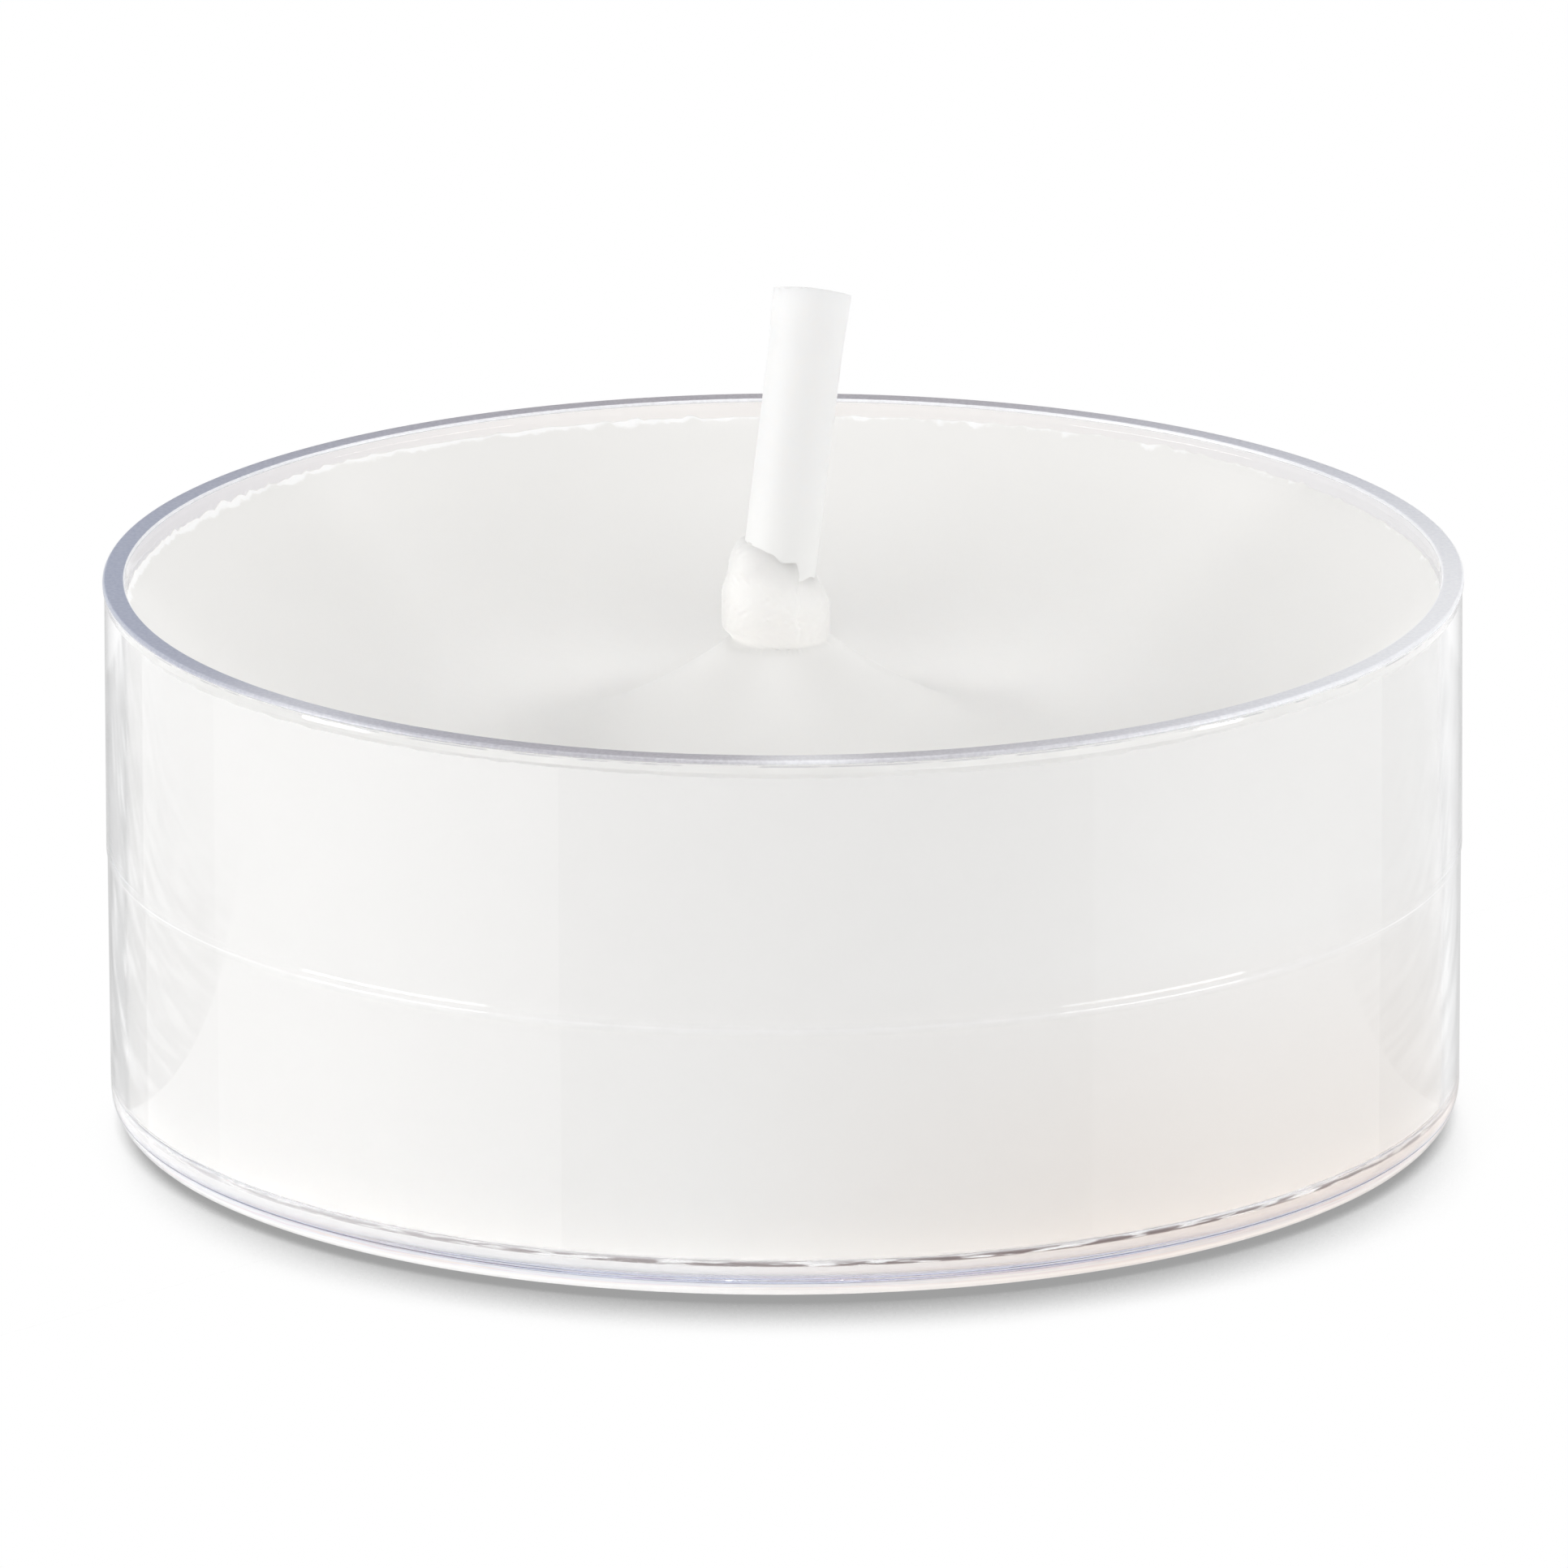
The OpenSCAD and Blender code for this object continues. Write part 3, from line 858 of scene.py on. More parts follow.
@dataclass
class MouldedCup:
    """Clear cup, moulded in one piece: lip, mould line, drafted lower wall, foot ring and gate mark."""

    # Outer radius of the lip and height of the rim, both from the frame
    rim_r: float
    height: float
    # Thickness of the wall and of the floor
    wall: float = 0.57 * MM
    floor: float = 0.9 * MM
    # Lip: how far it stands proud of the wall, its height, and the roundings where it meets the wall
    lip_proud: float = 0.05 * MM
    lip_height: float = 0.28 * MM
    lip_bevel: float = 0.12 * MM
    # Radii of the rounded edge at the base, and of the floor's edge inside
    base_edge: float = 1.0 * MM
    floor_edge: float = 0.4 * MM
    # Sink mark in the middle of the floor, which leaves air under the sustainer
    sink_r: float = 6.95 * MM
    sink: float = 0.01 * MM
    # Mould line, with the step and the draft that bring the wall in below it
    mould_line_z: float = 7.85 * MM
    mould_step: float = 0.03 * MM
    draft: float = 0.05 * MM
    # Foot ring, the recess inside it, and the gate's dimple with its broken stub
    foot_width: float = 1.6 * MM
    recess: float = 0.25 * MM
    gate_r: float = 1.5 * MM
    gate_depth: float = 0.15 * MM
    gate_mark_r: float = 0.5 * MM
    gate_mark_height: float = 0.1 * MM
    # Radii of the rim's outer and inner edge, and the one that polishing leaves on the small edges
    rim_edge: float = 0.1 * MM
    rim_inner_edge: float = 0.08 * MM
    edge: float = 0.03 * MM
    # How frosted the rim is, its painted light and shade from 0 for dark to 1 for pale, and how much paler its two
    # edges are painted
    rim_frost: float = 0.92
    rim_shade_level: float = 0.08
    outer_edge_light: float = 0.25
    inner_edge_light: float = 0.85
    # Stretches of painted light on the frosted rim: middle and half width in degrees from +X, and how much paler
    rim_light_stretches: tuple[tuple[float, float, float], ...] = ((-12.0, 55.0, 0.87), (-88.0, 5.0, 0.42), (-135.0, 10.0, 0.3))
    # Haze of wax: how far down from the rim it reaches, its strength at the left, how much more it is at the back and
    # less at the right, and the sine of the angle at the sides from which it fades in
    haze_reach: float = 1.2 * MM
    haze_left: float = 0.9
    haze_behind: float = 0.1
    haze_lost: float = 0.35
    haze_from: float = -0.3
    # Painted shade of the seam at the floor: its height, the height over which it fades, and its strength, which
    # swings round the cup and is most at the angle given in degrees from +X
    seam_height: float = 0.3 * MM
    seam_fade: float = 0.15 * MM
    seam_mean: float = 0.65
    seam_swing: float = 0.35
    seam_most_at: float = -60.0
    # Points round the cup, steps in each rounded edge, and the longest step of its section
    segments: int = 400
    arc_steps: int = 8
    longest_step: float = 0.8 * MM
    finish: ClearPolycarbonate = ClearPolycarbonate()

    @property
    def wall_r(self) -> float:
        """Outer radius of the upper wall."""
        return self.rim_r - self.lip_proud

    @property
    def inner_r(self) -> float:
        """Inner radius of the wall."""
        return self.wall_r - self.wall

    def corners(self) -> list[Corner]:
        """Lists the corners of the half section, from the gate mark out under the foot, up the wall and back in.

        Returns:
            The corners in order, with one ring on the straight just under the rim, where the frost ends.
        """
        low_r = self.wall_r - self.mould_step
        base_r = low_r - self.draft
        foot_r = base_r - self.base_edge
        recess_r = foot_r - self.foot_width
        roof = self.recess + self.gate_depth
        mark = roof - self.gate_mark_height
        lip_z = self.height - self.lip_height
        step = self.mould_step
        return [
            Corner(0, mark, 0),
            Corner(self.gate_mark_r, mark, self.edge),
            Corner(self.gate_mark_r, roof, self.edge),
            Corner(self.gate_r, roof, self.edge),
            Corner(self.gate_r, self.recess, self.edge),
            Corner(recess_r, self.recess, self.edge),
            Corner(recess_r, 0, self.edge),
            Corner(base_r, 0, self.base_edge),
            Corner(low_r, self.mould_line_z - step, step / 3),
            Corner(self.wall_r, self.mould_line_z + step, step / 3),
            Corner(self.wall_r, lip_z - self.lip_bevel, self.lip_bevel),
            Corner(self.rim_r, lip_z + self.lip_bevel, self.lip_bevel),
            Corner(self.rim_r, self.height, self.rim_edge),
            Corner(self.inner_r, self.height, self.rim_inner_edge),
            Corner(self.inner_r, self.height - self.rim_inner_edge - self.edge, 0),
            Corner(self.inner_r, self.floor, self.floor_edge),
            Corner(self.sink_r, self.floor, self.sink / 3),
            Corner(self.sink_r, self.floor - self.sink, self.sink / 3),
            Corner(0, self.floor - self.sink, 0),
        ]

    def build(self) -> bpy.types.Object:
        """Revolves the half section about the axis and closes both poles.

        A point (r, z) of the section becomes (r cos a, r sin a, z), and its normal turns with it, so that the clear
        walls bend light as true curves and flats.

        Returns:
            The cup, with its marks.
        """
        outline = rounded_outline(self.corners(), self.arc_steps, self.longest_step)
        angle = around(self.segments)
        turned = np.column_stack((np.cos(angle), np.sin(angle)))
        inner = slice(1, -1)

        def swept(section: np.ndarray) -> np.ndarray:
            """Carries the inner points of a section round, with its first and last rows as poles.

            Args:
                section: Radius and height of each point.

            Returns:
                Points ring by ring, then the two poles.
            """
            rings = np.concatenate((
                section[inner, None, :1] * turned,
                np.broadcast_to(section[inner, None, 1:], (len(section) - 2, self.segments, 1)),
            ), axis=2).reshape(-1, 3)
            poles = [(0, 0, section[0, 1]), (0, 0, section[-1, 1])]
            return np.concatenate((rings, poles))

        rings = len(outline.points) - 2
        last = rings * self.segments
        faces = [
            ring_quads(rings, self.segments, closed=False),
            fan(last, 0, self.segments, outward=False),
            fan(last + 1, last - self.segments, self.segments, outward=True),
        ]
        piece = make_piece("clear_cup", swept(outline.points), faces)
        piece.data.normals_split_custom_set_from_vertices(swept(outline.normals).tolist())
        self.mark_finish(piece, outline, angle)
        return piece

    def mark_finish(self, piece: bpy.types.Object, outline: Outline, angle: np.ndarray) -> None:
        """Marks the frost, the haze, the painted light and shade, and which face is the outside.

        The frosted rim face is painted with light and shade: palest at the right and in two short stretches at the
        front, dark elsewhere. The haze lies on the inner face over the wax: it is strong at the left and the back,
        warm at the back, weaker at the right, and fades out at the front. The seam is the corner where the wax meets
        the floor; painted shade lines it, darkest at the front right.

        Args:
            piece: The cup.
            outline: The half section that it was turned from.
            angle: Angles of its points round it.
        """
        r, z = outline.points[1:-1, :1], outline.points[1:-1, 1:]
        even = 0.0 * angle
        # A hair more than the radius of an edge, so that no ring of it is missed
        whole_edge = 1.01
        on_rim = z > self.height - self.edge / 3
        outer = (r > self.inner_r + self.wall / 2) * (z > self.height - whole_edge * self.rim_edge)
        inner = (r < self.inner_r + self.wall / 2) * (z > self.height - whole_edge * self.rim_inner_edge)
        frost = self.rim_frost * (outer | inner | on_rim) + even
        # Painted light and shade on the frosted rim: a dark level, lighter stretches and paler edges
        painted_light = self.rim_shade_level + sum(lift * bump_round(angle, middle, half) for middle, half, lift in self.rim_light_stretches)
        tone = np.clip(painted_light + self.outer_edge_light * (outer & ~on_rim) + self.inner_edge_light * (inner & ~on_rim), 0, 1)
        haze = (r < self.inner_r + self.edge) * (z > self.height - self.haze_reach)
        haze = haze * (z < self.height - self.rim_inner_edge)
        haze = haze * (self.haze_left + self.haze_behind * np.sin(angle) ** 2
                       - self.haze_lost * np.maximum(np.cos(angle), 0))
        haze = haze * smooth_step(np.sin(angle), self.haze_from, 0)
        outside = (r > self.inner_r + self.wall / 2) + even
        # Painted shade in the corner where the wax meets the floor, darkest at the front right
        seam = (r > self.inner_r - self.floor_edge) * (r < self.inner_r) * (z > self.floor)
        seam = seam * smooth_step(self.floor + self.seam_height - z, 0, self.seam_fade)
        seam = seam * (self.seam_mean + self.seam_swing * np.cos(angle - math.radians(self.seam_most_at)))
        warmth = np.sin(angle) ** 2 + 0.0 * r
        marks = {
            ClearPolycarbonate.FROST: frost, ClearPolycarbonate.FROST_LIGHT: tone, ClearPolycarbonate.WARM: warmth,
            ClearPolycarbonate.HAZE: haze, ClearPolycarbonate.OUTSIDE: outside, ClearPolycarbonate.SEAM_SHADE: seam,
        }
        for name, values in marks.items():
            mark_points(piece, name, np.concatenate((values.ravel(), (0, 0))))

    def dress(self, piece: bpy.types.Object) -> None:
        """Ties the cup to its node and gives it its finish.

        Args:
            piece: The cup.
        """
        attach(piece, Body.CANDLE.value)
        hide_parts("cup")
        self.finish.dress(piece)


@dataclass
class WickCourse:
    """Course of the wick: an upright foot up to a kink, then a straight lean towards +X."""

    # Place of the upright foot, height of the kink, and the lean over it
    foot_x: float = -0.41 * MM
    kink_z: float = 13.37 * MM
    lean: float = math.radians(6.9)
    # Half the length over which the wick bends at its kink
    bend: float = 0.3 * MM

    def at(self, height: np.ndarray) -> tuple[np.ndarray, np.ndarray]:
        """Follows the course.

        The lean grows evenly from 0 to its full angle over the bend on each side of the kink, which is an arc, and
        the course is straight before and after it.

        Args:
            height: Distance along the wick from the kink, negative below it.

        Returns:
            Centres, one row each, and the lean at each.
        """
        bend = self.bend
        t = np.clip((height + bend) / (2 * bend), 0, 1)
        lean = self.lean * t
        over = np.maximum(height - bend, 0)
        bent = 2 * bend * (1 - np.cos(self.lean * t)) / self.lean
        bent_up = 2 * bend * np.sin(self.lean * t) / self.lean
        x = self.foot_x + bent + over * math.sin(self.lean)
        z = self.kink_z + np.minimum(height, -bend) + bent_up + over * math.cos(self.lean)
        return np.column_stack((x, np.zeros_like(x), z)), lean


def tilted_rings(centres: np.ndarray, leans: np.ndarray, radii: np.ndarray, angle: np.ndarray,
                 rise: np.ndarray | float = 0.0) -> np.ndarray:
    """Lays rings of points round a course that leans in the XZ plane.

    Point j of ring i is centre i + r (cos a cos l, sin a, -cos a sin l) + rise (sin l, 0, cos l), with angle a,
    lean l and radius r.

    Args:
        centres: Centre of each ring.
        leans: Lean of each ring.
        radii: Radius of each point of each ring.
        angle: Angle of each point in its ring.
        rise: How far each point stands off its ring's plane.

    Returns:
        Points, ring by ring.
    """
    cos_l, sin_l = np.cos(leans)[:, None], np.sin(leans)[:, None]
    out, side = radii * np.cos(angle), radii * np.sin(angle)
    rise = np.broadcast_to(rise, out.shape)
    x = centres[:, :1] + out * cos_l + rise * sin_l
    y = centres[:, 1:2] + side
    z = centres[:, 2:] - out * sin_l + rise * cos_l
    return np.stack((x, y, z), axis=-1).reshape(-1, 3)


@dataclass(frozen=True)
class ClingingWax:
    """Wax that clings to the wick over the neck of the fill: a thin skin, and a lobe that bulges over it on the left.

    Heights are measured along the wick from its kink, and angles are in degrees.
    """

    # Lowest ring, which stands on the neck, and the top
    low: float = 0.5 * MM
    height: float = 3.2 * MM
    # Skin: where it ends and how much that wanders, its least thickness, and the length over which it runs out
    skin_top: float = 2.4 * MM
    skin_wander: float = 0.1 * MM
    skin_waves: tuple[int, int] = (3, 9)
    skin_least: float = 0.03 * MM
    skin_run_out: float = 0.9 * MM
    # Lobe: its thickness, its share of that before it is full, and how much thicker it gets near its top
    thick: float = 0.26 * MM
    thin_share: float = 0.62
    top_gain: float = 0.35
    top_gain_from: float = 1.9 * MM
    top_gain_full: float = 2.5 * MM
    # Torn edge of the lobe, measured from +X, and the angle over which the lobe rises there
    torn_edge: float = -60.0
    tear: float = 6.0
    # How far round the lobe reaches from its torn edge, how soon it fades, and where it grows to its full size
    width: float = 230.0
    fade: float = 70.0
    full_from: float = 25.0
    full_at: float = 95.0
    # Two waves in the torn edge, each with its reach round the wick and its length divided by a full turn
    edge_waves: tuple[tuple[float, float], ...] = ((3.0, 0.31 * MM), (1.5, 0.12 * MM))
    # How far the lobe stays below the top, and how much that wanders
    short: float = 0.1 * MM
    short_wander: float = 0.05 * MM
    short_waves: tuple[int, int] = (2, 9)
    # Height over which the lobe closes at its top, and where it swells out of the neck, each thin and full
    thin_close: float = 2.2 * MM
    full_close: float = 0.9 * MM
    swell_from: float = 0.45 * MM
    thin_swell: float = 1.3 * MM
    full_swell: float = 0.8 * MM
    # Lumps, as a share of the thickness
    lumps: float = 0.03
    lump_waves: tuple[int, int] = (2, 12)
    # Crumbs: their height, how far their pattern twists to and fro round the wick and how often, and the thickness
    # of wax between which they start and are full
    crumbs: float = 0.016 * MM
    crumb_waves: tuple[int, int] = (9, 34)
    crumb_turn: float = 1.7
    crumb_pitch: float = 0.23 * MM
    crumb_span: tuple[float, float] = (0.05 * MM, 0.2 * MM)
    # How far the skin sinks into the wick where it has run out, and the thickness at which it no longer does
    sunk: float = 0.006 * MM
    sunk_until: float = 0.05 * MM

    def thickness(self, height: np.ndarray, angle: np.ndarray, upright: np.ndarray, play: float) -> np.ndarray:
        """Thickness of the clinging wax over its bore, at heights over the kink and angles round the wick.

        The skin is as thick as the neck carried straight up, and the lobe is added to it. The lobe rises at its torn
        edge, grows to its full size further round and fades out. It closes at the top like a quarter of an ellipse
        where it is full and like a slope where it is thin. Both run out on the wick at their top.

        Args:
            height: Heights, one row each.
            angle: Angles round the wick, in radians.
            upright: Thickness of the neck if it is carried straight up, a row for each height.
            play: Gap between the bore and the wick.

        Returns:
            Thickness over the bore, a row for each height.
        """
        rng = np.random.default_rng(SEED + 1)
        skin_top = self.skin_top + self.skin_wander * ripple(angle, self.skin_waves, rng)
        skin = np.maximum(upright, self.skin_least) * smooth_step(skin_top - height, 0, self.skin_run_out)

        wander = sum(reach * np.sin(height / length) for reach, length in self.edge_waves)
        round_from_tear = (self.torn_edge + wander - np.degrees(angle)) % 360
        side = smooth_step(round_from_tear, 0, self.tear)
        side = side * (1 - smooth_step(round_from_tear, self.width - self.fade, self.width))
        full = smooth_step(round_from_tear, self.full_from, self.full_at)
        reach = self.height - (self.short + self.short_wander * ripple(angle, self.short_waves, rng))
        close = self.thin_close + (self.full_close - self.thin_close) * full
        fall = np.clip((reach - height) / close, 0, 1)
        top = smooth_step(fall, 0, 1) * (1 - full) + np.sqrt(1 - (1 - fall) ** 2) * full
        bottom = smooth_step(height, self.swell_from, self.thin_swell + (self.full_swell - self.thin_swell) * full)
        lobe = self.thick * (self.thin_share + (1 - self.thin_share) * full) * side * top * bottom
        lobe *= 1 + self.top_gain * smooth_step(height, self.top_gain_from, self.top_gain_full) * full
        lumps = 1 + self.lumps * ripple(angle + height / self.height, self.lump_waves, rng)
        twist = self.crumb_turn * np.sin(height / self.crumb_pitch)
        crumbs = self.crumbs * ripple(angle + twist, self.crumb_waves, rng)
        total = (skin + lobe) * lumps + crumbs * smooth_step(skin + lobe, *self.crumb_span)
        return total - (play + self.sunk) * (1 - smooth_step(total, 0, self.sunk_until))


@dataclass
class FillSection:
    """Half section of the wax fill from under it to its neck, and how many of its rings are underneath and on top."""

    points: np.ndarray
    under: int
    over: int

    @property
    def r(self) -> np.ndarray:
        """Radius of each ring."""
        return self.points[:, 0]

    @property
    def z(self) -> np.ndarray:
        """Height of each ring."""
        return self.points[:, 1]

    @property
    def crest_z(self) -> float:
        """Height at which the top meets the wall."""
        return self.points[-self.over, 1]


@dataclass
class PouredWax:
    """The wax fill: sunk top with a cone up the wick, torn crest at the wall, and the wax that clings to the wick.

    It stands a little higher along the back of the wall than along the front.
    """

    cup: MouldedCup
    course: WickCourse
    clinging: ClingingWax = ClingingWax()
    # How far the wax shrank away from the wall
    shrink_gap: float = 0.05 * MM
    # Sunk top: how far the crest, the dish and the neck lie under the rim, the radius where the dish is lowest, and
    # the neck's place along X and radius
    edge_drop: float = 0.63 * MM
    dish_drop: float = 5.5 * MM
    dish_r: float = 9.3 * MM
    neck_drop: float = 1.83 * MM
    neck_x: float = -0.085 * MM
    neck_r: float = 1.375 * MM
    # Slopes of the top at the neck and at the crest
    neck_slope: float = 0.83
    edge_slope: float = 0.97
    # How far the handles of the top's two curves reach, from the crest in to the neck
    edge_reach: float = 2.05 * MM
    out_reach: float = 3.2 * MM
    in_reach: float = 2.3 * MM
    neck_reach: float = 1.75 * MM
    # Rings close to the crest that carry its tears, by their distance in from it in millimetres
    film_rings: tuple[float, ...] = (0.03, 0.06, 0.1, 0.15, 0.22)
    # Radius of the bore round the wick
    bore_r: float = 1.07 * MM
    # Height over the kink at which the bore is sealed to the wick, and how far the seal goes into the wick
    seal_from: float = 1.7 * MM
    seal_depth: float = 0.02 * MM
    # Rings of the bore, by their height over the kink in millimetres, from the top down
    bore_rings: tuple[float, ...] = (3.1, 1.9, 1.5, 1.0, 0.4, 0.0, -0.4, -1.2)
    # Room for the sustainer: radius and height over the floor of its rings, in millimetres, from the top down
    room_rings: tuple[tuple[float, float], ...] = (
        (1.02, 3.52), (1.29, 3.52), (1.29, 0.8), (1.45, 0.45), (1.81, 0.27), (6.52, 0.27))
    # Gap between the fill's underside and the cup's floor, which the wax wets
    floor_lap: float = -0.004 * MM
    # Points round the wax, and its rings from the underside up to the clinging wax
    segments: int = 640
    under_rings: int = 6
    corner_rings: int = 8
    wall_rings: int = 12
    top_rings: int = 30
    collar_rings: int = 48
    # Shares of the room's and of the wax's radius between which the rings slide from the neck's middle to the axis
    slide_span: tuple[float, float] = (0.3, 0.9)
    # Heights over the kink between which the rings of the clinging wax take up the wick's lean
    lean_span: tuple[float, float] = (0.4 * MM, 2.0 * MM)
    # Angle between faces from which an edge stays sharp
    sharp_from: float = math.radians(60)
    finish: ParaffinWax = ParaffinWax()
    # How much higher the wax stands at the back, how far in from the wall and down from the crest it does, and the
    # sines of the angles at which that starts and is full
    back_lift: float = 0.16 * MM
    back_lift_in: float = 0.8 * MM
    back_lift_down: float = 2.0 * MM
    back_span: tuple[float, float] = (0.1, 0.8)
    # Stretches of the crest that tore when the wax shrank: middle and half width, in degrees from +X
    torn: tuple[tuple[float, float], ...] = ((150.0, 17.0), (98.0, 7.0), (42.0, 18.0), (181.0, 6.0))
    # Crest: height of its slow and its quick wave and of its tears, the level of the quick wave at which a tear
    # starts, and how far in from the wall and down it reaches
    slow_height: float = 0.03 * MM
    slow_waves: tuple[int, int] = (3, 14)
    quick_height: float = 0.02 * MM
    quick_waves: tuple[int, int] = (45, 150)
    tear_height: float = 0.1 * MM
    tear_level: float = 0.6
    crest_in: float = 0.15 * MM
    crest_down: float = 0.4 * MM
    # Mark of the crest's painted light, which whitens it and makes it glow: its width, its mean strength, and how
    # that swings from left to right
    crest_width: float = 0.36 * MM
    crest_light_mean: float = 0.7
    crest_light_swing: float = -0.3
    # How deep light goes, from none to full: by radius near the wick, by distance from the crest, and, the other way
    # round, by height beside the wall; and how deep in the clinging wax
    depth_by_r: tuple[float, float] = (1.5 * MM, 6.0 * MM)
    depth_by_crest: tuple[float, float] = (0.3 * MM, 8.0 * MM)
    depth_by_wall: tuple[float, float] = (2.0 * MM, 4.0 * MM)
    clinging_depth: float = 0.6

    @property
    def wax_r(self) -> float:
        """Radius of the wax, which has shrunk away from the wall."""
        return self.cup.inner_r - self.shrink_gap

    @property
    def room_r(self) -> float:
        """Radius of the room for the sustainer at the floor."""
        return self.room_rings[-1][0] * MM

    def top_curve(self) -> np.ndarray:
        """Section of the sunk top, from the wall down to the lowest ring and up the cone to the neck.

        Two cubic curves with level ends at the lowest ring, and with the slopes of the crest and of the neck at
        their other ends: (1 - t)^3 a + 3 (1 - t)^2 t b + 3 (1 - t) t^2 c + t^3 d.

        Returns:
            Radius and height of each ring.
        """
        t = np.linspace(0, 1, self.top_rings)[:, None]
        weights = ((1 - t) ** 3, 3 * (1 - t) ** 2 * t, 3 * (1 - t) * t**2, t**3)

        def cubic(*handles: tuple[float, float]) -> np.ndarray:
            """Blends the four handles."""
            return sum(w * np.array(h) for w, h in zip(weights, handles))

        top = self.cup.height
        edge_z, dish_z, neck_z = top - self.edge_drop, top - self.dish_drop, top - self.neck_drop
        outer = cubic((self.wax_r, edge_z),
                      (self.wax_r - self.edge_reach, edge_z - self.edge_reach * self.edge_slope),
                      (self.dish_r + self.out_reach, dish_z), (self.dish_r, dish_z))
        inner = cubic((self.dish_r, dish_z), (self.dish_r - self.in_reach, dish_z),
                      (self.neck_r + self.neck_reach, neck_z - self.neck_reach * self.neck_slope),
                      (self.neck_r, neck_z))
        film = np.array(self.film_rings)[:, None] * MM * np.array((-1.0, -self.edge_slope))
        return np.concatenate((outer[:1], outer[0] + film, outer[1:], inner[1:]))

    def half_section(self) -> FillSection:
        """Draws the fill from the sustainer's room out under it, round the floor's edge, up the wall and over it.

        The rounded edge is a quarter circle: (wax_r - f + f cos b, floor + f + f sin b) with b from -90 degrees to 0.

        Returns:
            The half section.
        """
        edge, floor, wax_r = self.cup.floor_edge, self.cup.floor, self.wax_r
        top = self.top_curve()
        bend = np.linspace(-math.pi / 2, 0, self.corner_rings)
        under = np.column_stack((np.linspace(self.room_r, wax_r - edge, self.under_rings),
                                 np.full(self.under_rings, floor + self.floor_lap)))
        corner = np.column_stack((wax_r - edge + edge * np.cos(bend), floor + edge + edge * np.sin(bend)))
        side = np.column_stack((np.full(self.wall_rings, wax_r),
                                np.linspace(floor + edge, top[0, 1], self.wall_rings + 1)[1:]))
        return FillSection(np.concatenate((under, corner[1:], side, top[1:])), len(under), len(top))

    def crest(self, angle: np.ndarray) -> np.ndarray:
        """How far the crest stands up the wall: a slow wave, with quick tears in the torn stretches.

        Args:
            angle: Angles round the wax.

        Returns:
            Rise of the crest at each angle.
        """
        rng = np.random.default_rng(SEED)
        slow = ripple(angle, self.slow_waves, rng)
        quick = ripple(angle, self.quick_waves, rng)
        tear = sum(bump_round(angle, middle, half) for middle, half in self.torn)
        return (self.slow_height * slow + self.quick_height * quick
                + self.tear_height * tear * (np.abs(quick) - self.tear_level))

    def build(self) -> bpy.types.Object:
        """Lays rings along the fill's outline: under it, up the wall, over the top, up the collar and down the bore.

        Returns:
            The wax, one closed band of rings, with its marks.
        """
        angle = around(self.segments)
        section = self.half_section()
        rings = (self.fill_points(section, angle), self.collar_points(angle), self.inside_points(angle))
        points = np.concatenate(rings)
        piece = make_piece("paraffin_fill", points, [ring_quads(len(points) // self.segments, self.segments, True)])
        piece.data.set_sharp_from_angle(angle=self.sharp_from)
        self.mark_light(piece, section, angle)
        return piece

    def fill_points(self, section: FillSection, angle: np.ndarray) -> np.ndarray:
        """Turns the half section, about a centre that slides from the wick's foot to the axis and on to the neck.

        The top rises by the crest close to the wall, and at the back also by the back's lift: each is its height
        times exp(-(d / reach)^2), where d is the distance from the wall.

        Args:
            section: The half section.
            angle: Angles round the wax.

        Returns:
            Points, ring by ring.
        """
        r, z, under, wax_r = section.r, section.z, section.under, self.wax_r
        slide = 1 - smooth_step(r, self.room_r * self.slide_span[0], wax_r * self.slide_span[1])
        slide[:under] = 1 - smooth_step(r[:under], self.room_r, wax_r - self.cup.floor_edge)
        middle = np.where(np.arange(len(r)) < under, self.course.foot_x, self.neck_x)
        centres = np.column_stack((slide * middle, np.zeros(len(r)), z))
        near_crest = np.exp(-((r - wax_r) / self.crest_in) ** 2) * (z > section.crest_z - self.crest_down)
        near_wall = np.exp(-((r - wax_r) / self.back_lift_in) ** 2) * (z > section.crest_z - self.back_lift_down)
        rise = near_crest[:, None] * self.crest(angle)
        rise += near_wall[:, None] * self.back_lift * smooth_step(np.sin(angle), *self.back_span)
        return tilted_rings(centres, np.zeros(len(r)), np.repeat(r[:, None], self.segments, axis=1), angle, rise)

    def collar_points(self, angle: np.ndarray) -> np.ndarray:
        """Lays the clinging wax as a thickness over the bore, on rings that take up the wick's lean as they climb.

        The neck carried straight up lies at d cos a + sqrt(r^2 - (d sin a)^2) from the wick's middle, where d is the
        offset between the middles and r the neck's radius.

        Args:
            angle: Angles round the wax.

        Returns:
            Points, ring by ring.
        """
        height = np.linspace(self.clinging.low, self.clinging.height, self.collar_rings)[:, None]
        along, full_lean = self.course.at(height[:, 0])
        leans = full_lean * smooth_step(height[:, 0], *self.lean_span)
        offset = self.neck_x - along[:, :1]
        upright = offset * np.cos(angle) + np.sqrt(self.neck_r**2 - (offset * np.sin(angle)) ** 2) - self.bore_r
        thickness = self.clinging.thickness(height, angle, upright, self.bore_r - DippedWick.r)
        return tilted_rings(along, leans, self.bore_r + thickness, angle)

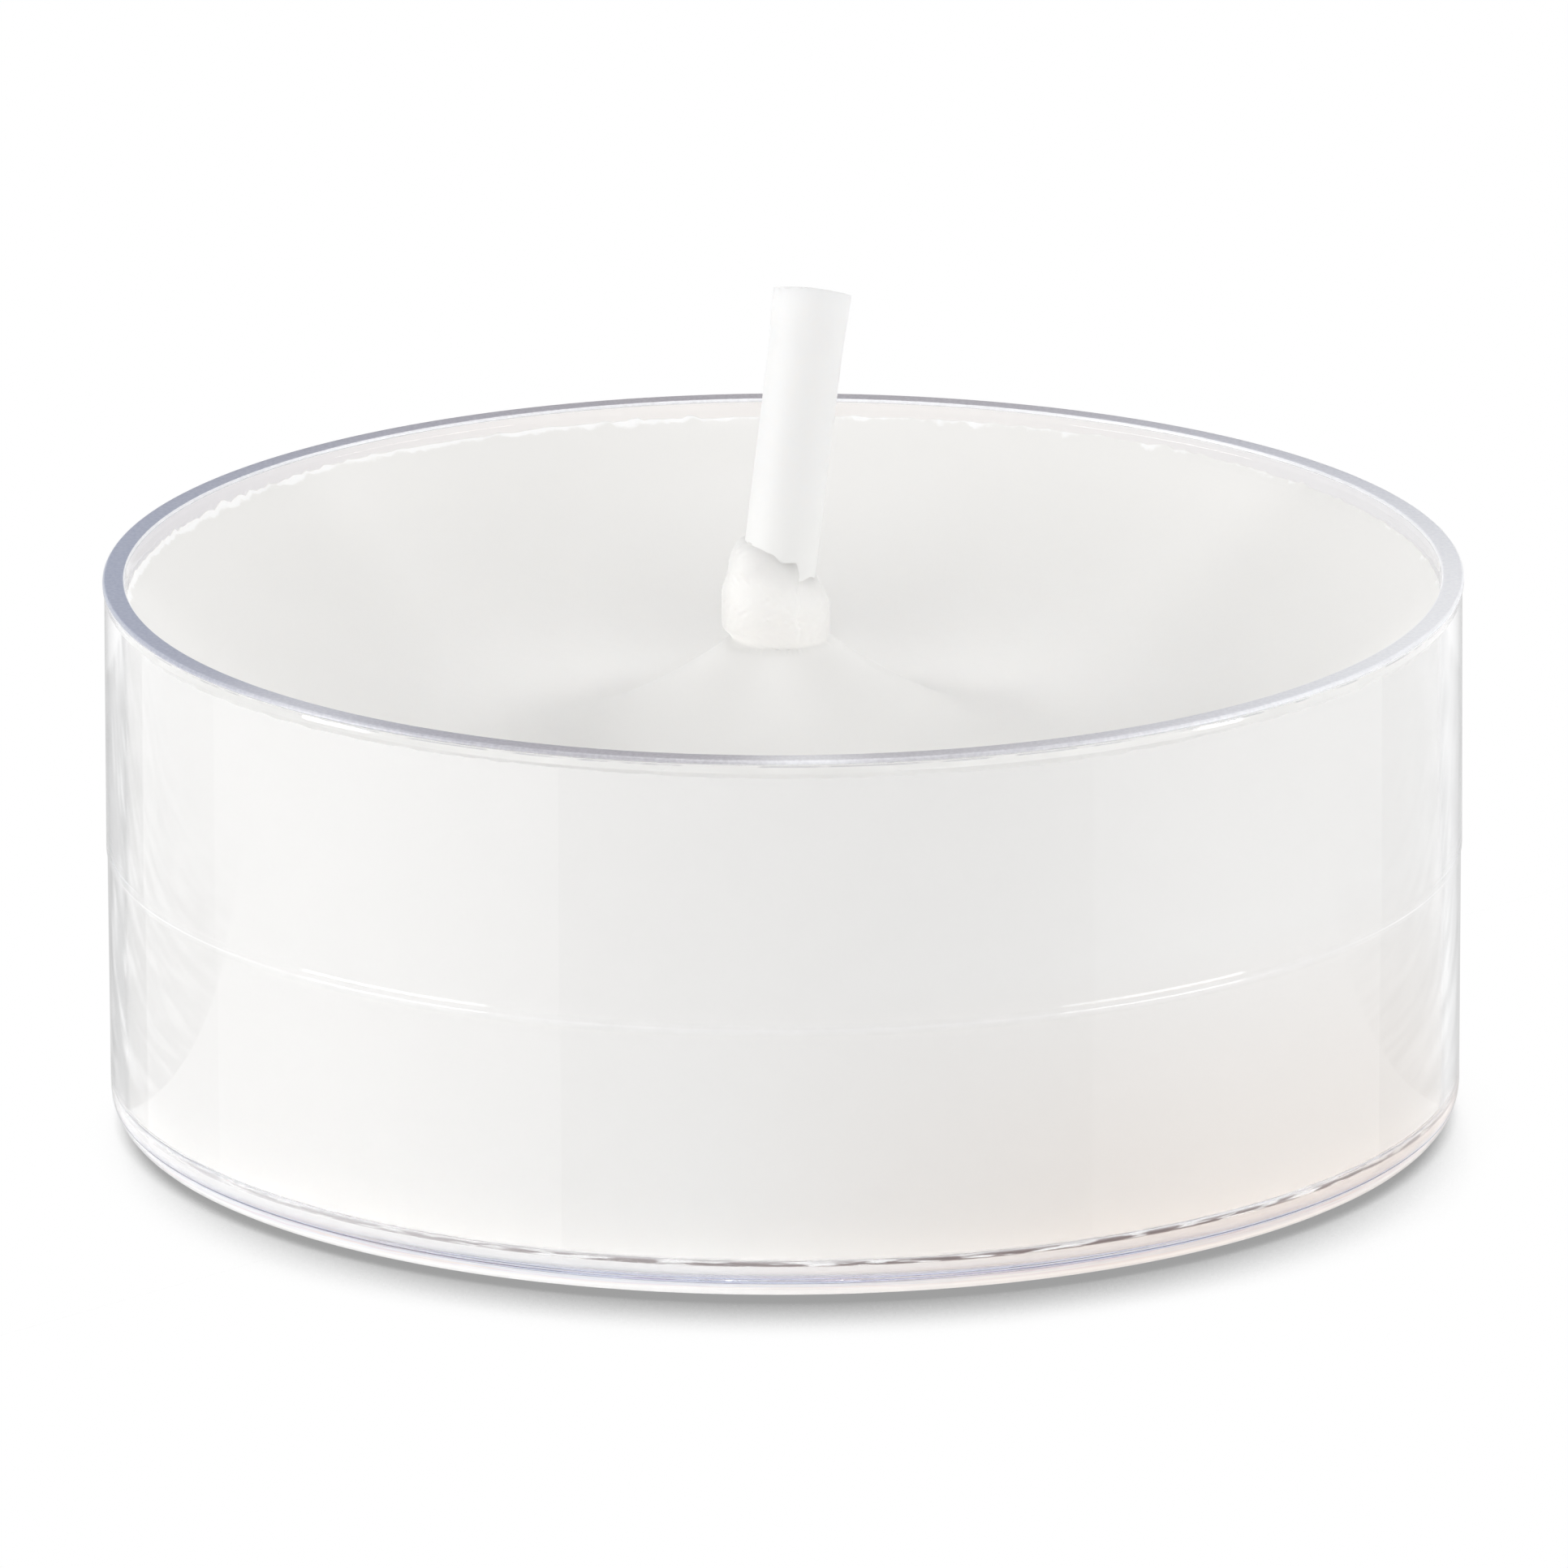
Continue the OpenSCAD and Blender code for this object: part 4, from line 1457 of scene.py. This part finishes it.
    def inside_points(self, angle: np.ndarray) -> np.ndarray:
        """Lays the bore, sealed to the wick where the clinging wax runs out on it, and the room for the sustainer.

        Args:
            angle: Angles round the wax.

        Returns:
            Points, ring by ring from the top down.
        """
        height = np.array(self.bore_rings) * MM
        centres, leans = self.course.at(height)
        radii = np.where(height > self.seal_from, DippedWick.r - self.seal_depth, self.bore_r)
        bore = tilted_rings(centres, leans, np.repeat(radii[:, None], self.segments, axis=1), angle)
        room = np.array(self.room_rings) * MM
        level = np.zeros(len(room))
        centres = np.column_stack((level + self.course.foot_x, level, self.cup.floor + room[:, 1]))
        return np.concatenate((bore, tilted_rings(
            centres, level, np.repeat(room[:, :1], self.segments, axis=1), angle)))

    def mark_light(self, piece: bpy.types.Object, section: FillSection, angle: np.ndarray) -> None:
        """Marks how deep light goes, which is less where the wax thins towards the wick and the wall, and the crest's
        painted light.

        Args:
            piece: The wax.
            section: The half section that it was turned from.
            angle: Angles of its points round it.
        """
        r, z, count = section.r, section.z, len(section.points)
        from_crest = np.hypot(r - self.wax_r, z - section.crest_z)
        depth = smooth_step(r, *self.depth_by_r) * smooth_step(from_crest, *self.depth_by_crest)
        beside_wall = slice(section.under, count - section.over + 1)
        depth[beside_wall] = 1 - smooth_step(z[beside_wall], *self.depth_by_wall)
        depth[: section.under] = 1.0
        # Mark of the crest's painted light, strongest at the left
        crest = np.clip(1 - from_crest / self.crest_width, 0, 1) * (np.arange(count) > count - section.over)
        inside = np.zeros(len(self.bore_rings) + len(self.room_rings))
        for name, rings, clinging, share in (
                (ParaffinWax.DEPTH, depth, self.clinging_depth, 1.0 + 0.0 * angle),
                (ParaffinWax.CREST_LIGHT, crest, 0.0, self.crest_light_mean + self.crest_light_swing * np.cos(angle))):
            on_collar = np.full(self.collar_rings, clinging)
            mark_points(piece, name, np.concatenate((rings, on_collar, inside))[:, None] * share)

    def dress(self, piece: bpy.types.Object) -> None:
        """Ties the wax to its node and gives it its finish.

        Args:
            piece: The wax.
        """
        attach(piece, Body.CANDLE.value)
        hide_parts("wax")
        self.finish.dress(piece)


@dataclass
class DippedWick:
    """Waxed wick: round, a little flared at its cut end, and cut on the slant."""

    course: WickCourse
    # Height of its foot, from the frame
    bottom_z: float
    # Radius above the kink, and of the foot in the sustainer
    r: float = 1.035 * MM
    foot_r: float = 1.0 * MM
    # How much the scissors spread the cut end
    flare: float = 0.05 * MM
    # Length over the kink, and slant of the cut
    free_length: float = 10.45 * MM
    cut_tilt: float = math.radians(20)
    # How much the cut end bulges in its middle
    cut_bulge: float = 0.09 * MM
    # Lengths at the top over which the wick flares and over which its rings tilt into the cut
    flare_length: float = 1.8 * MM
    cut_length: float = 1.6 * MM
    # Rings that close the cut, by their share of its radius
    cut_rings: tuple[float, ...] = (0.66, 0.33)
    # Heights over the kink between which the wick comes out of the wax and light starts to go deep in it
    light_from: float = 3.2 * MM
    light_full: float = 5.5 * MM
    # Points round the wick, rings of its foot, its bend and its free length, and the gap beside the bend
    segments: int = 96
    foot_rings: int = 14
    bend_rings: int = 7
    free_rings: int = 60
    bend_gap: float = 0.1 * MM
    # Angle between faces from which an edge stays sharp
    sharp_from: float = math.radians(50)
    finish: WaxedCotton = WaxedCotton()

    def build(self) -> bpy.types.Object:
        """Lays rings along the course, tilts the last ones into the slanted cut, and closes both ends.

        Near the cut, a point at angle a stands off its ring's plane by -r sin(a) tan(tilt), which grows from 0 to its
        full value over the last stretch, so that the cut falls towards the back.

        Returns:
            The wick, with its mark.
        """
        angle = around(self.segments)
        foot_length, bend = self.course.kink_z - self.bottom_z, self.course.bend
        height = np.concatenate((
            np.linspace(-foot_length, -(bend + self.bend_gap), self.foot_rings),
            np.linspace(-bend, bend, self.bend_rings),
            np.linspace(bend + self.bend_gap, self.free_length, self.free_rings),
        ))
        centres, leans = self.course.at(height)
        share = smooth_step(height, -bend, bend)
        radius = self.foot_r + (self.r - self.foot_r) * share
        radius += self.flare * smooth_step(height, self.free_length - self.flare_length, self.free_length)
        radii = np.repeat(radius[:, None], self.segments, axis=1)
        slant = smooth_step(height, self.free_length - self.cut_length, self.free_length)
        rise = slant[:, None] * radii * np.sin(angle) * -math.tan(self.cut_tilt)
        body = tilted_rings(centres, leans, radii, angle, rise)
        ends = np.array(self.cut_rings)[:, None]
        cap_radii = ends * np.full(self.segments, self.r + self.flare)
        cap_rise = cap_radii * np.sin(angle) * -math.tan(self.cut_tilt) + self.cut_bulge * (1 - ends**2)
        cap_centres, cap_leans = np.repeat(centres[-1:], len(ends), axis=0), np.repeat(leans[-1:], len(ends))
        top = tilted_rings(cap_centres, cap_leans, cap_radii, angle, cap_rise)
        axis = np.array((math.sin(leans[-1]), 0, math.cos(leans[-1])))
        poles = np.array((centres[0], centres[-1] + axis * self.cut_bulge))
        points = np.concatenate((body, top, poles))
        rings = len(height) + len(ends)
        last = rings * self.segments
        piece = make_piece("dipped_wick", points, [
            ring_quads(rings, self.segments, closed=False),
            fan(last, 0, self.segments, outward=False),
            fan(last + 1, last - self.segments, self.segments, outward=True),
        ])
        piece.data.set_sharp_from_angle(angle=self.sharp_from)
        depth = np.repeat(smooth_step(height, self.light_from, self.light_full), self.segments)
        mark_points(piece, WaxedCotton.DEPTH, np.concatenate((depth, np.ones(len(points) - depth.size))))
        return piece

    def dress(self, piece: bpy.types.Object) -> None:
        """Ties the wick to its node and gives it its finish.

        Args:
            piece: The wick.
        """
        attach(piece, Body.CANDLE.value)
        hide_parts("wick")
        self.finish.dress(piece)


@dataclass
class StampedSustainer:
    """The tin tab that holds the wick upright, whose shape the frame already has."""

    finish: Tinplate = Tinplate()

    def build(self) -> bpy.types.Object:
        """Takes the tab from the frame."""
        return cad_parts["wick_sustainer"]

    def dress(self, piece: bpy.types.Object) -> None:
        """Gives the tab its finish."""
        self.finish.dress(piece)


# Studio and camera


@dataclass
class SoftLamp:
    """One soft lamp: a lit panel that faces a point."""

    name: str
    place: tuple[float, float, float]
    width: float
    height: float
    radiance: float
    aim: tuple[float, float, float] = (0.0, 0.0, 0.008)

    def build(self) -> None:
        """Makes the panel. Its power is radiance times pi times its area."""
        data = bpy.data.lights.new(self.name, "AREA")
        data.shape = "RECTANGLE"
        data.size, data.size_y = self.width, self.height
        data.energy = self.radiance * math.pi * self.width * self.height
        lamp = bpy.data.objects.new(self.name, data)
        lamp.location = self.place
        away = Vector(self.place) - Vector(self.aim)
        lamp.rotation_mode = "QUATERNION"
        lamp.rotation_quaternion = away.to_track_quat("Z", "Y")
        bpy.context.scene.collection.objects.link(lamp)


@dataclass
class Studio:
    """Plain white table, even room light and soft lamps."""

    table_size: float = 6.0
    # Hair's breadth that keeps the table clear of the foot ring
    table_gap: float = 0.01 * MM
    room: str = "#FFFFFF"
    room_level: float = 0.2
    # What the wall mirrors: the level of the room, how much brighter it gets behind the candle, and how much darker
    # far behind. Each span has the bearings, in degrees from the camera's side, where a change starts and ends
    mirror_level: float = 0.85
    back_gain: float = 0.3
    back_span: tuple[float, float] = (120.0, 155.0)
    edge_loss: float = 0.45
    edge_span: tuple[float, float] = (157.0, 168.0)
    # Soft boxes that the wall mirrors: the bearings of their edges, and how much brighter than the room they are
    boxes: tuple[tuple[float, float, float], ...] = (
        (-141.0, -113.5, 0.22), (-113.5, -38.6, 0.38), (53.9, 122.8, 0.22))
    finish: WhiteTable = WhiteTable()
    # Bounces that light needs to run down the clear wall and back, and those between matt surfaces
    pipe_bounces: int = 24
    matt_bounces: int = 4

    def build(self) -> None:
        """Makes the table, the world and the lamps, and lets light run along the clear wall."""
        scene = bpy.context.scene
        scene.view_settings.view_transform = "Standard"
        for limit in ("max_bounces", "glossy_bounces", "transmission_bounces", "transparent_max_bounces"):
            setattr(scene.cycles, limit, self.pipe_bounces)
        scene.cycles.diffuse_bounces = self.matt_bounces
        scene.cycles.use_light_tree = False
        scene.cycles.caustics_reflective = False
        scene.cycles.caustics_refractive = False
        self.build_table()
        self.build_world()
        for lamp in self.lamps():
            lamp.build()

    def build_table(self) -> None:
        """Lays the table under the candle."""
        half = self.table_size / 2
        corners = np.array(((-half, -half), (half, -half), (half, half), (-half, half)))
        points = np.column_stack((corners, np.full(4, -self.table_gap)))
        table = make_piece("table", points, [np.arange(4)[None, :]])
        self.finish.dress(table)

    def build_world(self) -> None:
        """Fills the room with even light, shown as white."""
        world = bpy.data.worlds.new("white room")
        bpy.context.scene.world = world
        world.use_nodes = True
        tree = world.node_tree
        tree.nodes.clear()
        level = add_node(tree, "MapRange", {"To Min": self.room_level, "To Max": 1.0}, {"Value": seen_ray(tree)})
        strength = add_node(tree, "Math", operation="ADD", links={0: level.outputs[0], 1: self.mirrored_boxes(tree)})
        light = add_node(tree, "Background", {"Color": linear(self.room)}, {"Strength": strength.outputs[0]})
        add_node(tree, "OutputWorld", links={"Surface": light.outputs[0]})

    def mirrored_boxes(self, tree: bpy.types.NodeTree) -> bpy.types.NodeSocket:
        """Works out what mirrored rays see over or under plain white, by the ray's bearing from the camera's side.

        Args:
            tree: Node tree that takes the nodes.

        Returns:
            The level to add, which is 0 on the other rays.
        """
        way = add_node(tree, "TexCoord").outputs["Generated"]
        parts = add_node(tree, "SeparateXYZ", links={0: way})
        front = add_node(tree, "Math", {1: -1.0}, {0: parts.outputs["Y"]}, operation="MULTIPLY")
        bearing = add_node(tree, "Math", operation="ARCTAN2", links={0: parts.outputs["X"], 1: front.outputs[0]})
        turned = add_node(tree, "Math", operation="ABSOLUTE", links={0: bearing.outputs[0]})
        spans = []
        for (start, end), lowest, highest in (
                (self.back_span, self.mirror_level - 1, self.mirror_level + self.back_gain - 1),
                (self.edge_span, 0.0, -self.edge_loss)):
            spans.append(add_node(tree, "MapRange", {
                "From Min": math.radians(start), "From Max": math.radians(end), "To Min": lowest, "To Max": highest,
            }, {"Value": turned.outputs[0]}))
        level = add_node(tree, "Math", operation="ADD", links={0: spans[0].outputs[0], 1: spans[1].outputs[0]})
        for low, high, gain in self.boxes:
            middle, half = math.radians(low + high) / 2, math.radians(high - low) / 2
            inside = add_node(tree, "Math", {1: middle, 2: half}, {0: bearing.outputs[0]}, operation="COMPARE")
            level = add_node(tree, "Math", {1: gain}, {0: inside.outputs[0], 2: level.outputs[0]},
                             operation="MULTIPLY_ADD")
        return add_node(tree, "Math", operation="MULTIPLY", links={
            0: level.outputs[0], 1: mirror_ray(tree)}).outputs[0]

    def lamps(self) -> list[SoftLamp]:
        """Lists the lamps: one overhead, one low at each side, and one high at the right, the back and the front.

        Returns:
            The six lamps.
        """
        return [
            SoftLamp("overhead lamp", place=(0.0, 0.0, 1.0), width=0.5, height=0.5, radiance=3.6),
            SoftLamp("left lamp", place=(-1.1, -0.4, 0.2), width=0.8, height=0.35, radiance=7.9),
            SoftLamp("right lamp", place=(1.1, -0.5, 0.2), width=0.8, height=0.35, radiance=5.8),
            SoftLamp("high right lamp", place=(0.8, 0.2, 0.65), width=0.4, height=0.4, radiance=2.0),
            SoftLamp("back lamp", place=(0.0, 0.8, 0.75), width=0.6, height=0.4, radiance=2.5),
            SoftLamp("front lamp", place=(0.0, -0.8, 0.75), width=0.6, height=0.4, radiance=2.5),
        ]


@dataclass
class PhotoCamera:
    """Camera at the photograph's angle, far away with a long lens."""

    # Focal length and width of the sensor, in millimetres
    lens: float = 915.85
    sensor: float = 36.0
    elevation: float = math.radians(15.986)
    roll: float = -0.0037
    distance: float = 1.1148
    target_z: float = 9.4945 * MM
    clip: tuple[float, float] = (0.1, 20.0)

    def build(self) -> None:
        """Makes the camera and hands it to the scene."""
        data = bpy.data.cameras.new("photo camera")
        data.lens, data.sensor_width = self.lens, self.sensor
        data.clip_start, data.clip_end = self.clip
        camera = bpy.data.objects.new("photo camera", data)
        back = Vector((0, -math.cos(self.elevation), math.sin(self.elevation)))
        camera.location = Vector((0, 0, self.target_z)) + back * self.distance
        camera.rotation_mode = "QUATERNION"
        camera.rotation_quaternion = (-back).to_track_quat("-Z", "Y") @ Quaternion((0, 0, 1), self.roll)
        bpy.context.scene.collection.objects.link(camera)
        bpy.context.scene.camera = camera


def main() -> None:
    """Builds the camera, the studio and the candle's pieces in order."""
    logging.basicConfig(level=logging.INFO, format="%(name)s: %(message)s")
    PhotoCamera().build()
    Studio().build()
    lowest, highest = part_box("cup")
    cup = MouldedCup(rim_r=(highest[0] - lowest[0]) / 2, height=highest[2])
    course = WickCourse()
    parts = (cup, PouredWax(cup, course), DippedWick(course, bottom_z=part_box("wick")[0][2]), StampedSustainer())
    for part in parts:
        piece = part.build()
        part.dress(piece)
        log.info("%s: %d faces, %s", piece.name, len(piece.data.polygons), part.finish.name)


if __name__ == "__main__":
    main()
